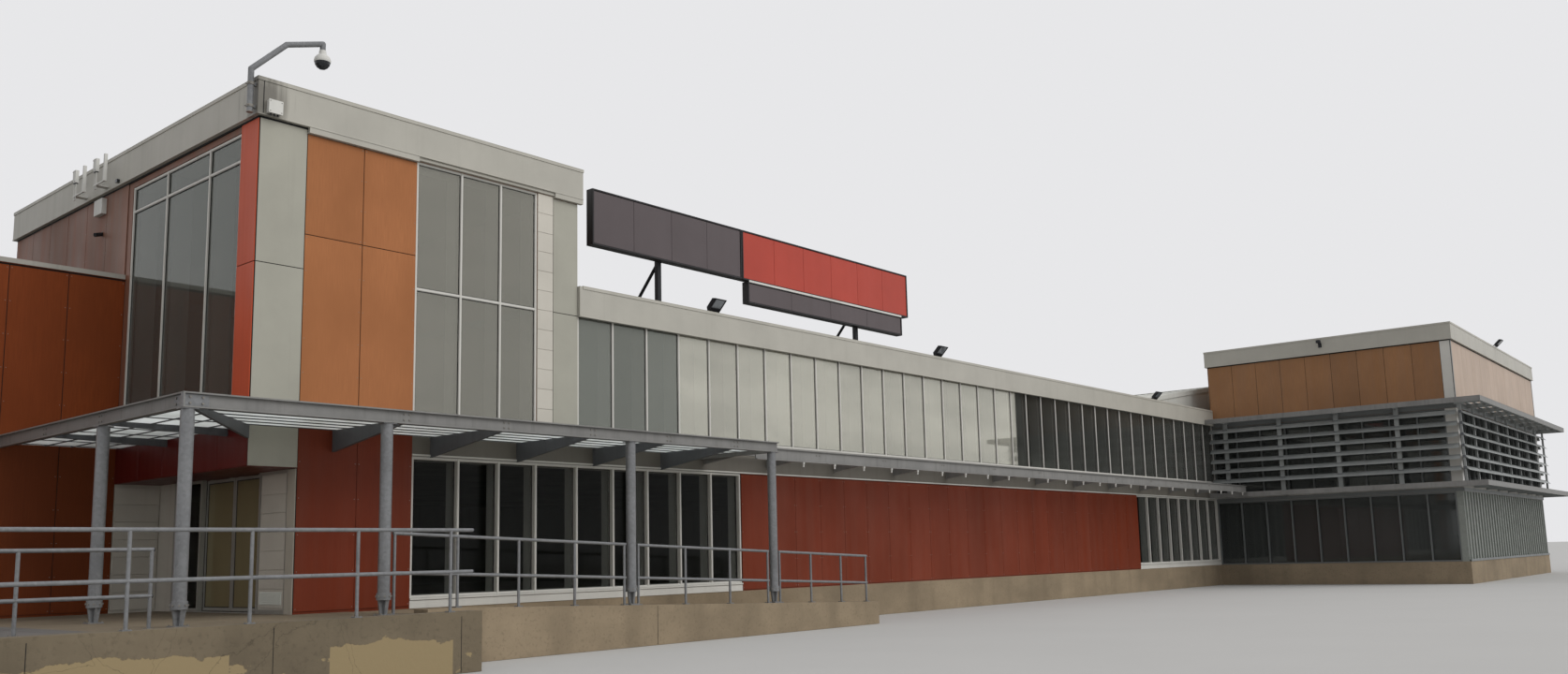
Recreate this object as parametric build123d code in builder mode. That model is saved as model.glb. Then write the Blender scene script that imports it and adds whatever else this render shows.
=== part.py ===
from build123d import *
import os

os.makedirs("parts", exist_ok=True)

# Supermarket building as a scale model at 1:2, so a real metre is 500 mm here.
# X runs along the shop front, Y goes into the building and Z is up.
# The origin is under the front left corner of the tower, on the lowest ground.
metre = 500.0

# Common sizes
module = 0.90 * metre
wall = 0.25 * metre
glass = 0.03 * metre
frame_depth = 0.08 * metre
frame_bar = 0.05 * metre
joint = 0.02 * metre
running_gap = 0.012 * metre

# Levels above the lowest ground, built up from the shop floor
floor_z = 0.75 * metre
shopfront_head = floor_z + 2.48 * metre
floor_slab = 0.20 * metre
upper_z = floor_z + 3.10 * metre
ribbon_head = floor_z + 5.29 * metre
roof_slab = 0.15 * metre
roof_z = floor_z + 5.60 * metre
wing_top = floor_z + 5.88 * metre
fascia_bottom = floor_z + 7.58 * metre
fascia_height = 0.59 * metre
fascia_projection = 0.08 * metre
fascia_thickness = 0.15 * metre
fascia_step = 0.09 * metre

# Plan sizes
tower_width = 6.25 * metre
tower_depth = 10.40 * metre
recess = 0.77 * metre
low_wing_y = 4.80 * metre
left_run = 6 * module
wing_modules = 35
pavilion_modules = 17
pavilion_projection = 8.45 * metre
hall_depth = 22.50 * metre
cap_height = 0.08 * metre
cap_overhang = 0.03 * metre

left_x = -left_run
wing_x = tower_width
pavilion_x = wing_x + wing_modules * module
right_x = pavilion_x + pavilion_modules * module
pavilion_y = -pavilion_projection
back_y = hall_depth
slab_z = upper_z - floor_slab

# Tower windows
tower_window_x = 2.745 * metre
tower_window_width = 2.555 * metre
white_strip_end = 5.66 * metre
tower_window_head = floor_z + 7.52 * metre
tower_transom = floor_z + 5.30 * metre
tower_mullion_x = [3.66 * metre, 4.49 * metre]
side_window_y = 0.56 * metre
side_window_width = 4.06 * metre
side_window_head = floor_z + 7.45 * metre
side_transom = floor_z + 7.00 * metre
side_mullion_y = [1.66 * metre, 3.24 * metre]

# Shop windows and the red wall between them
shop_sill = 0.16 * metre
front_shop_modules = 5
rear_shop_modules = 8
fin_depth = 0.30 * metre
fin_bar = 0.06 * metre
shop_fin_depth = 0.20 * metre

# Entrance with two sliding leaves, in the wall at the back of the recess
door_centre = 2.17 * metre
leaf_width = 1.00 * metre
leaf_thickness = 0.04 * metre
leaf_stile = 0.05 * metre
door_head = floor_z + 2.20 * metre
door_header = 0.22 * metre
header_depth = 0.30 * metre
soffit = 0.04 * metre
bulkhead = 0.10 * metre
threshold = 0.02 * metre
leaf_glass = 0.02 * metre
side_panel = 0.04 * metre
meeting_gap = 0.012 * metre
hanger_length = 0.12 * metre
hanger_inset = 0.15 * metre
hanger_clearance = 0.8
entrance_near = wall
entrance_far = 4.20 * metre

# Terrace, ramp and railings
terrace_projection = 3.50 * metre
terrace_right = 1.65 * metre
ramp_projection = 2.20 * metre
ramp_start = 2.20 * metre
ramp_end = 12.60 * metre
ramp_fall = 0.35 * metre
kerb_height = 0.06 * metre
kerb_width = 0.35 * metre
outer_rail_top = floor_z + 1.18 * metre
inner_rail_top = floor_z + 0.985 * metre
mid_rail_drop = 0.56 * metre
rail_diameter = 0.05 * metre
post_diameter = 0.045 * metre
post_plate = 0.10 * metre
post_plate_thickness = 0.012 * metre
rail_inset = 0.08 * metre
rail_overhang = 0.03 * metre
outer_rail_end = 1.54 * metre
outer_post_x = [(1.19 - 1.37 * i) * metre for i in range(5)]
inner_rail_end = -2.08 * metre
inner_post_x = [(-2.10 - 1.45 * i) * metre for i in range(3)]
ramp_rail_posts = (
    (1.22 * metre, 2.28 * metre, 3.40 * metre, 4.52 * metre, 5.60 * metre),
    (5.92 * metre, 7.06 * metre, 8.22 * metre, 9.29 * metre),
    (9.64 * metre, 10.60 * metre, 11.58 * metre, 12.44 * metre),
)
ramp_rail_fall = 0.0432

# Entrance canopy
canopy_left = -1.85 * metre
canopy_front = -2.10 * metre
canopy_end = 9.60 * metre
canopy_top = floor_z + 2.93 * metre
beam_depth = 0.20 * metre
beam_flange = 0.075 * metre
beam_web = 0.02 * metre
deck_thickness = 0.02 * metre
deck_drop = 0.10 * metre
rafter_width = 0.05 * metre
rafter_root = 0.34 * metre
side_rafter_root = 0.12 * metre
hip_root_depth = 0.20 * metre
column_diameter = 0.17 * metre
column_collar = 0.20 * metre
shoe_height = 0.20 * metre
shoe_foot = 0.11 * metre
shoe_fin = 0.03 * metre
base_plate = 0.20 * metre
plate_thickness = 0.02 * metre
column_inset = 0.10 * metre
collar_height = 0.10 * metre
front_column_x = (1.06 * metre, 5.76 * metre, 9.47 * metre)
first_rafter_x = 1.35 * metre
rafter_spacing = 1.765 * metre
front_rafters = 5
first_side_rafter_y = 0.65 * metre
side_rafter_spacing = 2.10 * metre
side_rafters = 2

# Thin canopy along the wing
wing_canopy_projection = 1.50 * metre
wing_canopy_top = floor_z + 2.89 * metre
wing_canopy_depth = 0.25 * metre
bracket_spacing = 2.41 * metre
first_bracket_x = 11.61 * metre
slat_width = 0.09 * metre
slat_thickness = 0.03 * metre
slat_count = 5
edge_bar = 0.06 * metre
bracket_width = 0.05 * metre
bracket_root = 0.26 * metre
bracket_tip = 0.08 * metre

# Pavilion
pavilion_floor_z = floor_z + 2.60 * metre
pavilion_slab = 0.25 * metre
pavilion_window_head = floor_z + 5.20 * metre
rib_pitch = 0.45 * metre
rib_height = 0.04 * metre
rib_width = 0.10 * metre
louvre_gap = 0.32 * metre
front_louvre_gap = 0.20 * metre
louvre_levels = 6
louvre_pitch = 0.38 * metre
louvre_top = floor_z + 5.03 * metre
blade_chord = 0.26 * metre
blade_camber = 0.04 * metre
blade_tilt = 40
blade_facets = 4
louvre_post = 0.07 * metre
side_louvre_post = 0.15 * metre
front_louvre_spaces = 8
shade_slats = 4
shade_projection = 0.90 * metre
shade_depth = 0.16 * metre
upper_shade_top = floor_z + 5.46 * metre
lower_shade_top = floor_z + 2.66 * metre
corner_post = 0.35 * metre
pavilion_lights = 17
side_window_lights = 9
first_side_post = 0.62 * metre
side_post_spacing = 2.00 * metre
side_louvre_posts = 4

# Pitched roof behind the wing
gable_left = 32.40 * metre
gable_width = 18 * module
gable_eaves = 0.30 * metre
gable_rise = 1.25 * metre
gable_setback = 0.75 * metre
gable_sheet = 0.12 * metre

# Roof sign, floodlights and mast
sign_y = 0.45 * metre
board_thickness = 0.16 * metre
sign_left = 7.00 * metre
sign_split = 11.40 * metre
sign_right = 17.95 * metre
sign_bottom = floor_z + 6.93 * metre
sign_height = 1.15 * metre
band_left = 11.60 * metre
band_right = 17.65 * metre
band_height = 0.50 * metre
sign_tube = 0.10 * metre
sign_post_x = (9.00 * metre, 15.90 * metre)
sign_rail_top = sign_bottom + 0.80 * sign_height
brace_reach = 1.10 * metre
brace_tube = 0.07 * metre
brace_foot = 0.20 * metre
flood_x = (9.95 * metre, 18.60 * metre, 32.48 * metre)
flood_size = 0.35 * metre
flood_back = 0.24 * metre
flood_thickness = 0.08 * metre
flood_arm = 0.06 * metre
flood_arm_diameter = 0.04 * metre
flood_reach = 0.20 * metre
flood_rise = 0.165 * metre
flood_tilt = 45
mast_diameter = 0.09 * metre
mast_top = floor_z + 9.05 * metre
mast_reach = 1.15 * metre
dome_diameter = 0.24 * metre
dome_drop = 0.30 * metre
mast_knee_height = 0.12 * metre
mast_bend_reach = 0.55 * metre
mast_arm_rise = 0.20 * metre
mast_standoff = 0.08 * metre
mast_bracket = 0.05 * metre
pavilion_flood_x = 45.35 * metre
aerial_y = (5.62 * metre, 6.58 * metre)
aerial_reach = 0.20 * metre
aerial_width = 0.13 * metre
aerial_thickness = 0.06 * metre
aerial_height = 0.24 * metre
aerial_bottom = floor_z + 7.91 * metre
aerial_tube = 0.025 * metre
aerial_tube_gap = 0.07 * metre
aerial_arm_z = floor_z + 7.66 * metre
small_aerial_offset = -0.42 * metre
small_aerial = 0.05 * metre
service_box_y = 5.95 * metre
service_box = (0.36 * metre, 0.10 * metre, 0.29 * metre)
service_box_top = floor_z + 7.50 * metre
junction_box_x = 0.165 * metre
junction_box = (0.21 * metre, 0.08 * metre, 0.20 * metre)
junction_box_top = floor_z + 7.82 * metre


def block(x, y, z, mode=Mode.ADD):
    """A box between two corners, with each axis given as its low and high value."""
    centre = ((x[0] + x[1]) / 2, (y[0] + y[1]) / 2, (z[0] + z[1]) / 2)
    with Locations(centre):
        Box(x[1] - x[0], y[1] - y[0], z[1] - z[0], mode=mode)


def ring(x, y, z, thickness):
    """A rectangular ring of walls with its outer faces at x and y."""
    block(x, y, z)
    inner_x = (x[0] + thickness, x[1] - thickness)
    inner_y = (y[0] + thickness, y[1] - thickness)
    block(inner_x, inner_y, z, mode=Mode.SUBTRACT)


def across(centre, width):
    """The low and high value of something of that width about its centre."""
    return (centre - width / 2, centre + width / 2)


def steps(low, high, count):
    """Evenly spaced values from low to high, both ends included."""
    return [low + (high - low) * i / count for i in range(count + 1)]


def bar_grid(along, depth, z, uprights, levels, side=False, bar=frame_bar):
    """A window frame: a border, uprights and level bars, along X or on a side along Y."""
    for centre in [along[0] + bar / 2] + uprights + [along[1] - bar / 2]:
        upright = across(centre, bar)
        if side:
            block(depth, upright, z)
        else:
            block(upright, depth, z)
    for centre in [z[0] + bar / 2] + levels + [z[1] - bar / 2]:
        level = across(centre, bar)
        if side:
            block(depth, along, level)
        else:
            block(along, depth, level)


# The foundation stands on the lowest ground and carries the shop floor
with BuildPart() as foundation:
    block((left_x, right_x), (low_wing_y, back_y), (0, floor_z))
    block((0, right_x), (0, low_wing_y), (0, floor_z))
    block((pavilion_x, right_x), (pavilion_y, 0), (0, floor_z))
foundation.part.label = "foundation"
export_step(foundation.part, "parts/foundation.step")

# Terrace in front of the entrance, with its retaining wall
with BuildPart() as entrance_terrace:
    block((left_x, 0), (-terrace_projection, low_wing_y), (0, floor_z))
    block((0, terrace_right), (-terrace_projection, 0), (0, floor_z))
    terrace_kerb_y = (-terrace_projection, -terrace_projection + kerb_width)
    block((left_x, terrace_right), terrace_kerb_y, (floor_z, floor_z + kerb_height))
entrance_terrace.part.label = "entrance_terrace"
export_step(entrance_terrace.part, "parts/entrance_terrace.step")


def ramp_run(y, rise):
    """A run of the ramp between two depths, with its top raised above the walkway."""
    with BuildSketch(Plane.XZ.offset(-y[1])) as outline:
        with BuildLine():
            Polyline(
                (terrace_right, 0),
                (ramp_end, 0),
                (ramp_end, floor_z - ramp_fall + rise),
                (ramp_start, floor_z + rise),
                (terrace_right, floor_z + rise),
                close=True,
            )
        make_face()
    extrude(outline.sketch, amount=y[1] - y[0])


# Ramp that falls to the right along the shop front, with a kerb on its outer edge
with BuildPart() as shopfront_ramp:
    ramp_run((-ramp_projection, 0), 0)
    ramp_run((-ramp_projection, -ramp_projection + kerb_width), kerb_height)
shopfront_ramp.part.label = "shopfront_ramp"
export_step(shopfront_ramp.part, "parts/shopfront_ramp.step")


# Outer walls of the hall, each with an overhanging coping
def capped_front(x, y, bottom, overhang):
    """A wall along X with a thin coping that overhangs on one face."""
    block(x, y, (bottom, wing_top - cap_height))
    cap_y = (y[0] - overhang, y[1]) if overhang > 0 else (y[0], y[1] - overhang)
    block(x, cap_y, (wing_top - cap_height, wing_top))


with BuildPart() as low_wing_wall:
    capped_front((left_x, 0), (low_wing_y, low_wing_y + wall), floor_z, cap_overhang)
low_wing_wall.part.label = "low_wing_wall"
export_step(low_wing_wall.part, "parts/low_wing_wall.step")

with BuildPart() as back_wall:
    capped_front((left_x, right_x), (back_y - wall, back_y), floor_z, -cap_overhang)
back_wall.part.label = "back_wall"
export_step(back_wall.part, "parts/back_wall.step")

with BuildPart() as left_end_wall:
    block((left_x, left_x + wall), (low_wing_y + wall, back_y - wall), (floor_z, wing_top - cap_height))
    block(
        (left_x - cap_overhang, left_x + wall),
        (low_wing_y + wall, back_y - wall),
        (wing_top - cap_height, wing_top),
    )
left_end_wall.part.label = "left_end_wall"
export_step(left_end_wall.part, "parts/left_end_wall.step")

with BuildPart() as right_end_wall:
    block((right_x - wall, right_x), (0, back_y - wall), (floor_z, wing_top - cap_height))
    block(
        (right_x - wall, right_x + cap_overhang),
        (0, back_y - wall),
        (wing_top - cap_height, wing_top),
    )
right_end_wall.part.label = "right_end_wall"
export_step(right_end_wall.part, "parts/right_end_wall.step")

# Ground floor walls round the recessed entrance
with BuildPart() as recess_wall:
    block((0, recess + wall), (low_wing_y, low_wing_y + wall), (floor_z, slab_z))
    block((recess, recess + wall), (entrance_far, low_wing_y), (floor_z, slab_z))
recess_wall.part.label = "recess_wall"
export_step(recess_wall.part, "parts/recess_wall.step")

with BuildPart() as entrance_lintel:
    block((recess, recess + wall), (entrance_near, entrance_far), (door_head + door_header, slab_z))
entrance_lintel.part.label = "entrance_lintel"
export_step(entrance_lintel.part, "parts/entrance_lintel.step")

# Bulkhead of the tower over the recess, closed below by the soffit
with BuildPart() as recess_bulkhead:
    block((0, recess), (0, low_wing_y), (door_head, door_head + soffit))
    block((0, bulkhead), (0, low_wing_y), (door_head, slab_z))
    block((0, recess), (0, bulkhead), (door_head, slab_z))
recess_bulkhead.part.label = "recess_bulkhead"
export_step(recess_bulkhead.part, "parts/recess_bulkhead.step")

with BuildPart() as tower_lower_wall:
    block((recess, tower_window_x), (0, wall), (floor_z, slab_z))
tower_lower_wall.part.label = "tower_lower_wall"
export_step(tower_lower_wall.part, "parts/tower_lower_wall.step")

# Red wall of the wing and the band over the shop windows
shop_mid_x = wing_x + front_shop_modules * module
shop_rear_x = pavilion_x - rear_shop_modules * module

with BuildPart() as wing_red_wall:
    block((shop_mid_x, shop_rear_x), (0, wall), (floor_z, shopfront_head))
wing_red_wall.part.label = "wing_red_wall"
export_step(wing_red_wall.part, "parts/wing_red_wall.step")

with BuildPart() as shopfront_lintel:
    block((tower_window_x, pavilion_x), (0, wall), (shopfront_head, slab_z))
shopfront_lintel.part.label = "shopfront_lintel"
export_step(shopfront_lintel.part, "parts/shopfront_lintel.step")

# Upper floor, with its edge showing on the shop front
with BuildPart() as upper_floor:
    block((0, right_x - wall), (0, low_wing_y + wall), (slab_z, upper_z))
    block((left_x + wall, right_x - wall), (low_wing_y + wall, back_y - wall), (slab_z, upper_z))
upper_floor.part.label = "upper_floor"
export_step(upper_floor.part, "parts/upper_floor.step")

# Tower walls above the upper floor
with BuildPart() as tower_front_wall:
    block((0, tower_width), (0, wall), (upper_z, fascia_bottom))
    block(
        (tower_window_x, tower_window_x + tower_window_width),
        (0, wall),
        (upper_z, tower_window_head),
        mode=Mode.SUBTRACT,
    )
tower_front_wall.part.label = "tower_front_wall"
export_step(tower_front_wall.part, "parts/tower_front_wall.step")

with BuildPart() as tower_side_wall:
    block((0, wall), (wall, low_wing_y + wall), (upper_z, fascia_bottom))
    block(
        (0, wall),
        (side_window_y, side_window_y + side_window_width),
        (upper_z, side_window_head),
        mode=Mode.SUBTRACT,
    )
tower_side_wall.part.label = "tower_side_wall"
export_step(tower_side_wall.part, "parts/tower_side_wall.step")

# The rest of the tower's walls stand on the flat roof
with BuildPart() as tower_rear_walls:
    block((0, wall), (low_wing_y + wall, tower_depth), (roof_z, fascia_bottom))
    block((wall, tower_width), (tower_depth - wall, tower_depth), (roof_z, fascia_bottom))
    block((tower_width - wall, tower_width), (wall, tower_depth), (roof_z, fascia_bottom))
tower_rear_walls.part.label = "tower_rear_walls"
export_step(tower_rear_walls.part, "parts/tower_rear_walls.step")

# One flat roof over the wing and the hall
with BuildPart() as flat_roof:
    roof_depth = (roof_z - roof_slab, roof_z)
    block((tower_width - wall, right_x - wall), (wall, low_wing_y + wall), roof_depth)
    block((tower_width, right_x - wall), (0, wall), roof_depth)
    block((left_x + wall, right_x - wall), (low_wing_y + wall, back_y - wall), roof_depth)
flat_roof.part.label = "flat_roof"
export_step(flat_roof.part, "parts/flat_roof.step")

# High roofs of the tower and the pavilion, inside their fascias
with BuildPart() as high_roofs:
    block(
        (fascia_thickness - fascia_projection, tower_width + fascia_projection - fascia_thickness),
        (fascia_thickness - fascia_projection, tower_depth + fascia_projection - fascia_thickness),
        (fascia_bottom, fascia_bottom + roof_slab),
    )
    block(
        (
            pavilion_x + fascia_thickness - fascia_projection,
            right_x + fascia_projection - fascia_thickness,
        ),
        (
            pavilion_y + fascia_thickness - fascia_projection,
            fascia_projection - fascia_thickness,
        ),
        (fascia_bottom, fascia_bottom + roof_slab),
    )
high_roofs.part.label = "high_roofs"
export_step(high_roofs.part, "parts/high_roofs.step")

# Projecting metal fascias round the high roofs
with BuildPart() as tower_fascia:
    ring(
        (-fascia_projection, tower_width + fascia_projection),
        (-fascia_projection, tower_depth + fascia_projection),
        (fascia_bottom, fascia_bottom + fascia_height),
        fascia_thickness,
    )
    for x in ((recess, tower_window_x), (white_strip_end, tower_width + fascia_projection)):
        block(x, (-fascia_projection, 0), (fascia_bottom - fascia_step, fascia_bottom))
tower_fascia.part.label = "tower_fascia"
export_step(tower_fascia.part, "parts/tower_fascia.step")

with BuildPart() as pavilion_fascia:
    ring(
        (pavilion_x - fascia_projection, right_x + fascia_projection),
        (pavilion_y - fascia_projection, fascia_projection),
        (fascia_bottom, fascia_bottom + fascia_height),
        fascia_thickness,
    )
pavilion_fascia.part.label = "pavilion_fascia"
export_step(pavilion_fascia.part, "parts/pavilion_fascia.step")

# Fascia of the wing, with an upstand behind it on the roof edge
with BuildPart() as wing_fascia:
    block((wing_x, pavilion_x), (-fascia_projection, 0), (ribbon_head, wing_top))
    block((wing_x, pavilion_x), (0, fascia_thickness), (roof_z, wing_top))
wing_fascia.part.label = "wing_fascia"
export_step(wing_fascia.part, "parts/wing_fascia.step")

# Windows: bars outside, and one sheet of glass behind them
window_bars = (joint, joint + frame_depth)
window_sheet = (joint + frame_depth, joint + frame_depth + glass)
tower_window = (tower_window_x, tower_window_x + tower_window_width)
side_window = (side_window_y, side_window_y + side_window_width)
tower_window_z = (upper_z, tower_window_head)
side_window_z = (upper_z, side_window_head)

with BuildPart() as tower_window_frames:
    bar_grid(tower_window, window_bars, tower_window_z, tower_mullion_x, [tower_transom])
    bar_grid(side_window, window_bars, side_window_z, side_mullion_y, [side_transom], side=True)
tower_window_frames.part.label = "tower_window_frames"
export_step(tower_window_frames.part, "parts/tower_window_frames.step")

ribbon_x = (wing_x, pavilion_x)
ribbon_z = (upper_z, roof_z - roof_slab)
ribbon_lights = steps(wing_x, pavilion_x, wing_modules)[1:-1]

with BuildPart() as ribbon_frame:
    bar_grid(ribbon_x, window_bars, ribbon_z, ribbon_lights, [])
ribbon_frame.part.label = "ribbon_frame"
export_step(ribbon_frame.part, "parts/ribbon_frame.step")

# Deep steel fins stand behind the long ribbon of glass
fin_y = (window_sheet[1], window_sheet[1] + fin_depth)
with BuildPart() as ribbon_fins:
    bar_grid(ribbon_x, fin_y, ribbon_z, ribbon_lights, [], bar=fin_bar)
ribbon_fins.part.label = "ribbon_fins"
export_step(ribbon_fins.part, "parts/ribbon_fins.step")

with BuildPart() as upper_glass:
    block(tower_window, window_sheet, tower_window_z)
    block(window_sheet, side_window, side_window_z)
    block(ribbon_x, window_sheet, ribbon_z)
upper_glass.part.label = "upper_glass"
export_step(upper_glass.part, "parts/upper_glass.step")

# Shop windows on the ground floor, on a low white sill
front_shop_x = (tower_window_x, shop_mid_x)
rear_shop_x = (shop_rear_x, pavilion_x)
shop_z = (floor_z + shop_sill, shopfront_head)
front_shop_lights = tower_mullion_x + [tower_window[1]]
front_shop_lights += steps(wing_x, shop_mid_x, front_shop_modules)[:-1]
rear_shop_lights = steps(shop_rear_x, pavilion_x, rear_shop_modules)[1:-1]

with BuildPart() as shopfront_frames:
    bar_grid(front_shop_x, window_bars, shop_z, front_shop_lights, [])
    block(front_shop_x, (0, wall), (floor_z, floor_z + shop_sill))
    bar_grid(rear_shop_x, window_bars, shop_z, rear_shop_lights, [])
    block(rear_shop_x, (0, wall), (floor_z, floor_z + shop_sill))
shopfront_frames.part.label = "shopfront_frames"
export_step(shopfront_frames.part, "parts/shopfront_frames.step")

# Fins behind the windows of the tower and of the shop
shop_fin_y = (window_sheet[1], window_sheet[1] + shop_fin_depth)
with BuildPart() as window_fins:
    bar_grid(tower_window, fin_y, tower_window_z, tower_mullion_x, [], bar=fin_bar)
    bar_grid(side_window, fin_y, side_window_z, side_mullion_y, [], side=True, bar=fin_bar)
    bar_grid(front_shop_x, shop_fin_y, shop_z, front_shop_lights, [], bar=fin_bar)
    bar_grid(rear_shop_x, shop_fin_y, shop_z, rear_shop_lights, [], bar=fin_bar)
window_fins.part.label = "window_fins"
export_step(window_fins.part, "parts/window_fins.step")

# Entrance: fixed frame, side lights and two leaves that slide apart behind them
leaf_low = door_centre - leaf_width
leaf_high = door_centre + leaf_width
entrance_x = (recess, recess + frame_depth)
side_light_z = (floor_z + threshold, door_head)
leaf_x = recess + frame_depth + running_gap
leaf_z = (floor_z + threshold + running_gap, door_head - running_gap)

with BuildPart() as entrance_frame:
    bar_grid((entrance_near, leaf_low), entrance_x, side_light_z, [], [], side=True)
    bar_grid((leaf_high, entrance_far), entrance_x, side_light_z, [], [], side=True)
    block((recess, recess + header_depth), (entrance_near, entrance_far), (floor_z, side_light_z[0]))
entrance_frame.part.label = "entrance_frame"
export_step(entrance_frame.part, "parts/entrance_frame.step")

# The header houses the track that carries both leaves
with BuildPart() as door_track_header:
    header_z = (door_head, door_head + door_header)
    block((recess, recess + header_depth), (entrance_near, entrance_far), header_z)
door_track_header.part.label = "door_track_header"
export_step(door_track_header.part, "parts/door_track_header.step")

pane_x = across(recess + frame_depth / 2, glass)
pane_z = (side_light_z[0] + frame_bar, side_light_z[1] - frame_bar)
with BuildPart() as ground_floor_glass:
    block(front_shop_x, window_sheet, shop_z)
    block(rear_shop_x, window_sheet, shop_z)
    block(pane_x, (leaf_high + frame_bar, entrance_far - frame_bar), pane_z)
ground_floor_glass.part.label = "ground_floor_glass"
export_step(ground_floor_glass.part, "parts/ground_floor_glass.step")

with BuildPart() as entrance_panel:
    panel_x = across(recess + frame_depth / 2, side_panel)
    block(panel_x, (entrance_near + frame_bar, leaf_low - frame_bar), pane_z)
entrance_panel.part.label = "entrance_panel"
export_step(entrance_panel.part, "parts/entrance_panel.step")


def leaf_frame(low_y, high_y):
    """One sliding leaf: stiles and rails round its pane, and two hangers that run under the header."""
    thickness = (leaf_x, leaf_x + leaf_thickness)
    bar_grid((low_y, high_y), thickness, leaf_z, [], [], side=True, bar=leaf_stile)
    for hanger_y in (low_y + hanger_inset, high_y - hanger_inset):
        block(thickness, across(hanger_y, hanger_length), (leaf_z[1], door_head - hanger_clearance))


def leaf_pane(low_y, high_y):
    """The glass pane of a sliding leaf, held inside its stiles."""
    thickness = across(leaf_x + leaf_thickness / 2, leaf_glass)
    height = (leaf_z[0] + leaf_stile, leaf_z[1] - leaf_stile)
    block(thickness, (low_y + leaf_stile, high_y - leaf_stile), height)


near_leaf = (leaf_low, door_centre - meeting_gap / 2)
far_leaf = (door_centre + meeting_gap / 2, leaf_high)

with BuildPart() as near_door_leaf:
    leaf_frame(*near_leaf)
near_door_leaf.part.label = "near_door_leaf"
export_step(near_door_leaf.part, "parts/near_door_leaf.step")

with BuildPart() as near_door_glass:
    leaf_pane(*near_leaf)
near_door_glass.part.label = "near_door_glass"
export_step(near_door_glass.part, "parts/near_door_glass.step")

with BuildPart() as far_door_leaf:
    leaf_frame(*far_leaf)
far_door_leaf.part.label = "far_door_leaf"
export_step(far_door_leaf.part, "parts/far_door_leaf.step")

with BuildPart() as far_door_glass:
    leaf_pane(*far_leaf)
far_door_glass.part.label = "far_door_glass"
export_step(far_door_glass.part, "parts/far_door_glass.step")


def rib(root, tip, root_depth, tip_depth, width):
    """A level rib from root to tip, flat on top and deeper at its root."""
    run = Vector(*tip) - Vector(*root)
    side = Plane(origin=root, x_dir=run, z_dir=run.cross(Vector(0, 0, 1)))
    with BuildSketch(side) as outline:
        with BuildLine():
            Polyline((0, 0), (0, -root_depth), (run.length, -tip_depth), (run.length, 0), close=True)
        make_face()
    extrude(outline.sketch, amount=width / 2, both=True)


def tube(start, end, diameter):
    """A round bar between two points."""
    run = Vector(*end) - Vector(*start)
    with BuildSketch(Plane(origin=start, z_dir=run)) as section:
        Circle(diameter / 2)
    extrude(section.sketch, amount=run.length)


def channel(web, opening, start, length, z):
    """A level steel channel, drawn across its run with its flanges on the opening side."""
    inner = web + (beam_web if opening > web else -beam_web)
    with BuildSketch(start) as section:
        with BuildLine():
            Polyline(
                (web, z[0]),
                (opening, z[0]),
                (opening, z[0] + beam_web),
                (inner, z[0] + beam_web),
                (inner, z[1] - beam_web),
                (opening, z[1] - beam_web),
                (opening, z[1]),
                (web, z[1]),
                close=True,
            )
        make_face()
    extrude(section.sketch, amount=length)


# Entrance canopy: steel channels at the edge, tapered rafters and a light deck
canopy_z = (canopy_top - beam_depth, canopy_top)
beam_back = canopy_front + beam_flange
deck_z = (canopy_top - deck_drop - deck_thickness, canopy_top - deck_drop)

side_beam_back = canopy_left + beam_flange
end_beam_back = canopy_end - beam_flange

with BuildPart() as canopy_beams:
    channel(beam_back, canopy_front, Plane.YZ.offset(canopy_left), canopy_end - canopy_left, canopy_z)
    block((canopy_left, canopy_left + beam_web), (canopy_front, beam_back), canopy_z)
    channel(side_beam_back, canopy_left, Plane.XZ.offset(-low_wing_y), low_wing_y - beam_back, canopy_z)
    channel(end_beam_back, canopy_end, Plane.XZ, -beam_back, canopy_z)
canopy_beams.part.label = "canopy_beams"
export_step(canopy_beams.part, "parts/canopy_beams.step")

# Rafters meet the tower and the lintel at their deep end
front_rafter_x = [first_rafter_x + i * rafter_spacing for i in range(front_rafters)]
side_rafter_y = [first_side_rafter_y + i * side_rafter_spacing for i in range(side_rafters)]
rafter_tip = deck_z[0] - canopy_z[0] - beam_web

with BuildPart() as canopy_rafters:
    for x in front_rafter_x:
        rib((x, 0, deck_z[0]), (x, beam_back, deck_z[0]), rafter_root, rafter_tip, rafter_width)
    for y in side_rafter_y:
        rib((0, y, deck_z[0]), (side_beam_back, y, deck_z[0]), side_rafter_root, rafter_tip, rafter_width)
    hip_tip = (side_beam_back + rafter_width, beam_back + rafter_width, deck_z[0])
    hip_root = (-rafter_width / 2, -rafter_width / 2, deck_z[0])
    rib(hip_root, hip_tip, hip_root_depth, rafter_tip, rafter_width)
canopy_rafters.part.label = "canopy_rafters"
export_step(canopy_rafters.part, "parts/canopy_rafters.step")

# Deck of pale sheet on light bars, in a front run and a side run
with BuildPart() as canopy_deck:
    block((side_beam_back, end_beam_back), (beam_back, 0), deck_z)
    block((side_beam_back, 0), (joint, low_wing_y), deck_z)
canopy_deck.part.label = "canopy_deck"
export_step(canopy_deck.part, "parts/canopy_deck.step")


def walkway_level(x):
    """Height of the terrace or of the falling ramp at x."""
    if x <= ramp_start:
        return floor_z
    return floor_z - ramp_fall * (x - ramp_start) / (ramp_end - ramp_start)


def kerb_rise(x, kerb_from):
    """The kerb's height at x, for a kerb that starts at kerb_from."""
    return kerb_height if x > kerb_from else 0


def foot_plate(x, y, size, thickness, rise):
    """A square plate that follows the ground, or a kerb that rises above it; gives its top."""
    low_x, high_x = x - size / 2, x + size / 2
    top = walkway_level(low_x) + rise + thickness
    with BuildSketch(Plane.XZ.offset(-y - size / 2)) as outline:
        with BuildLine():
            Polyline(
                (low_x, walkway_level(low_x) + rise),
                (high_x, walkway_level(high_x) + rise),
                (high_x, top),
                (low_x, top),
                close=True,
            )
        make_face()
    extrude(outline.sketch, amount=size)
    return top


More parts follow.
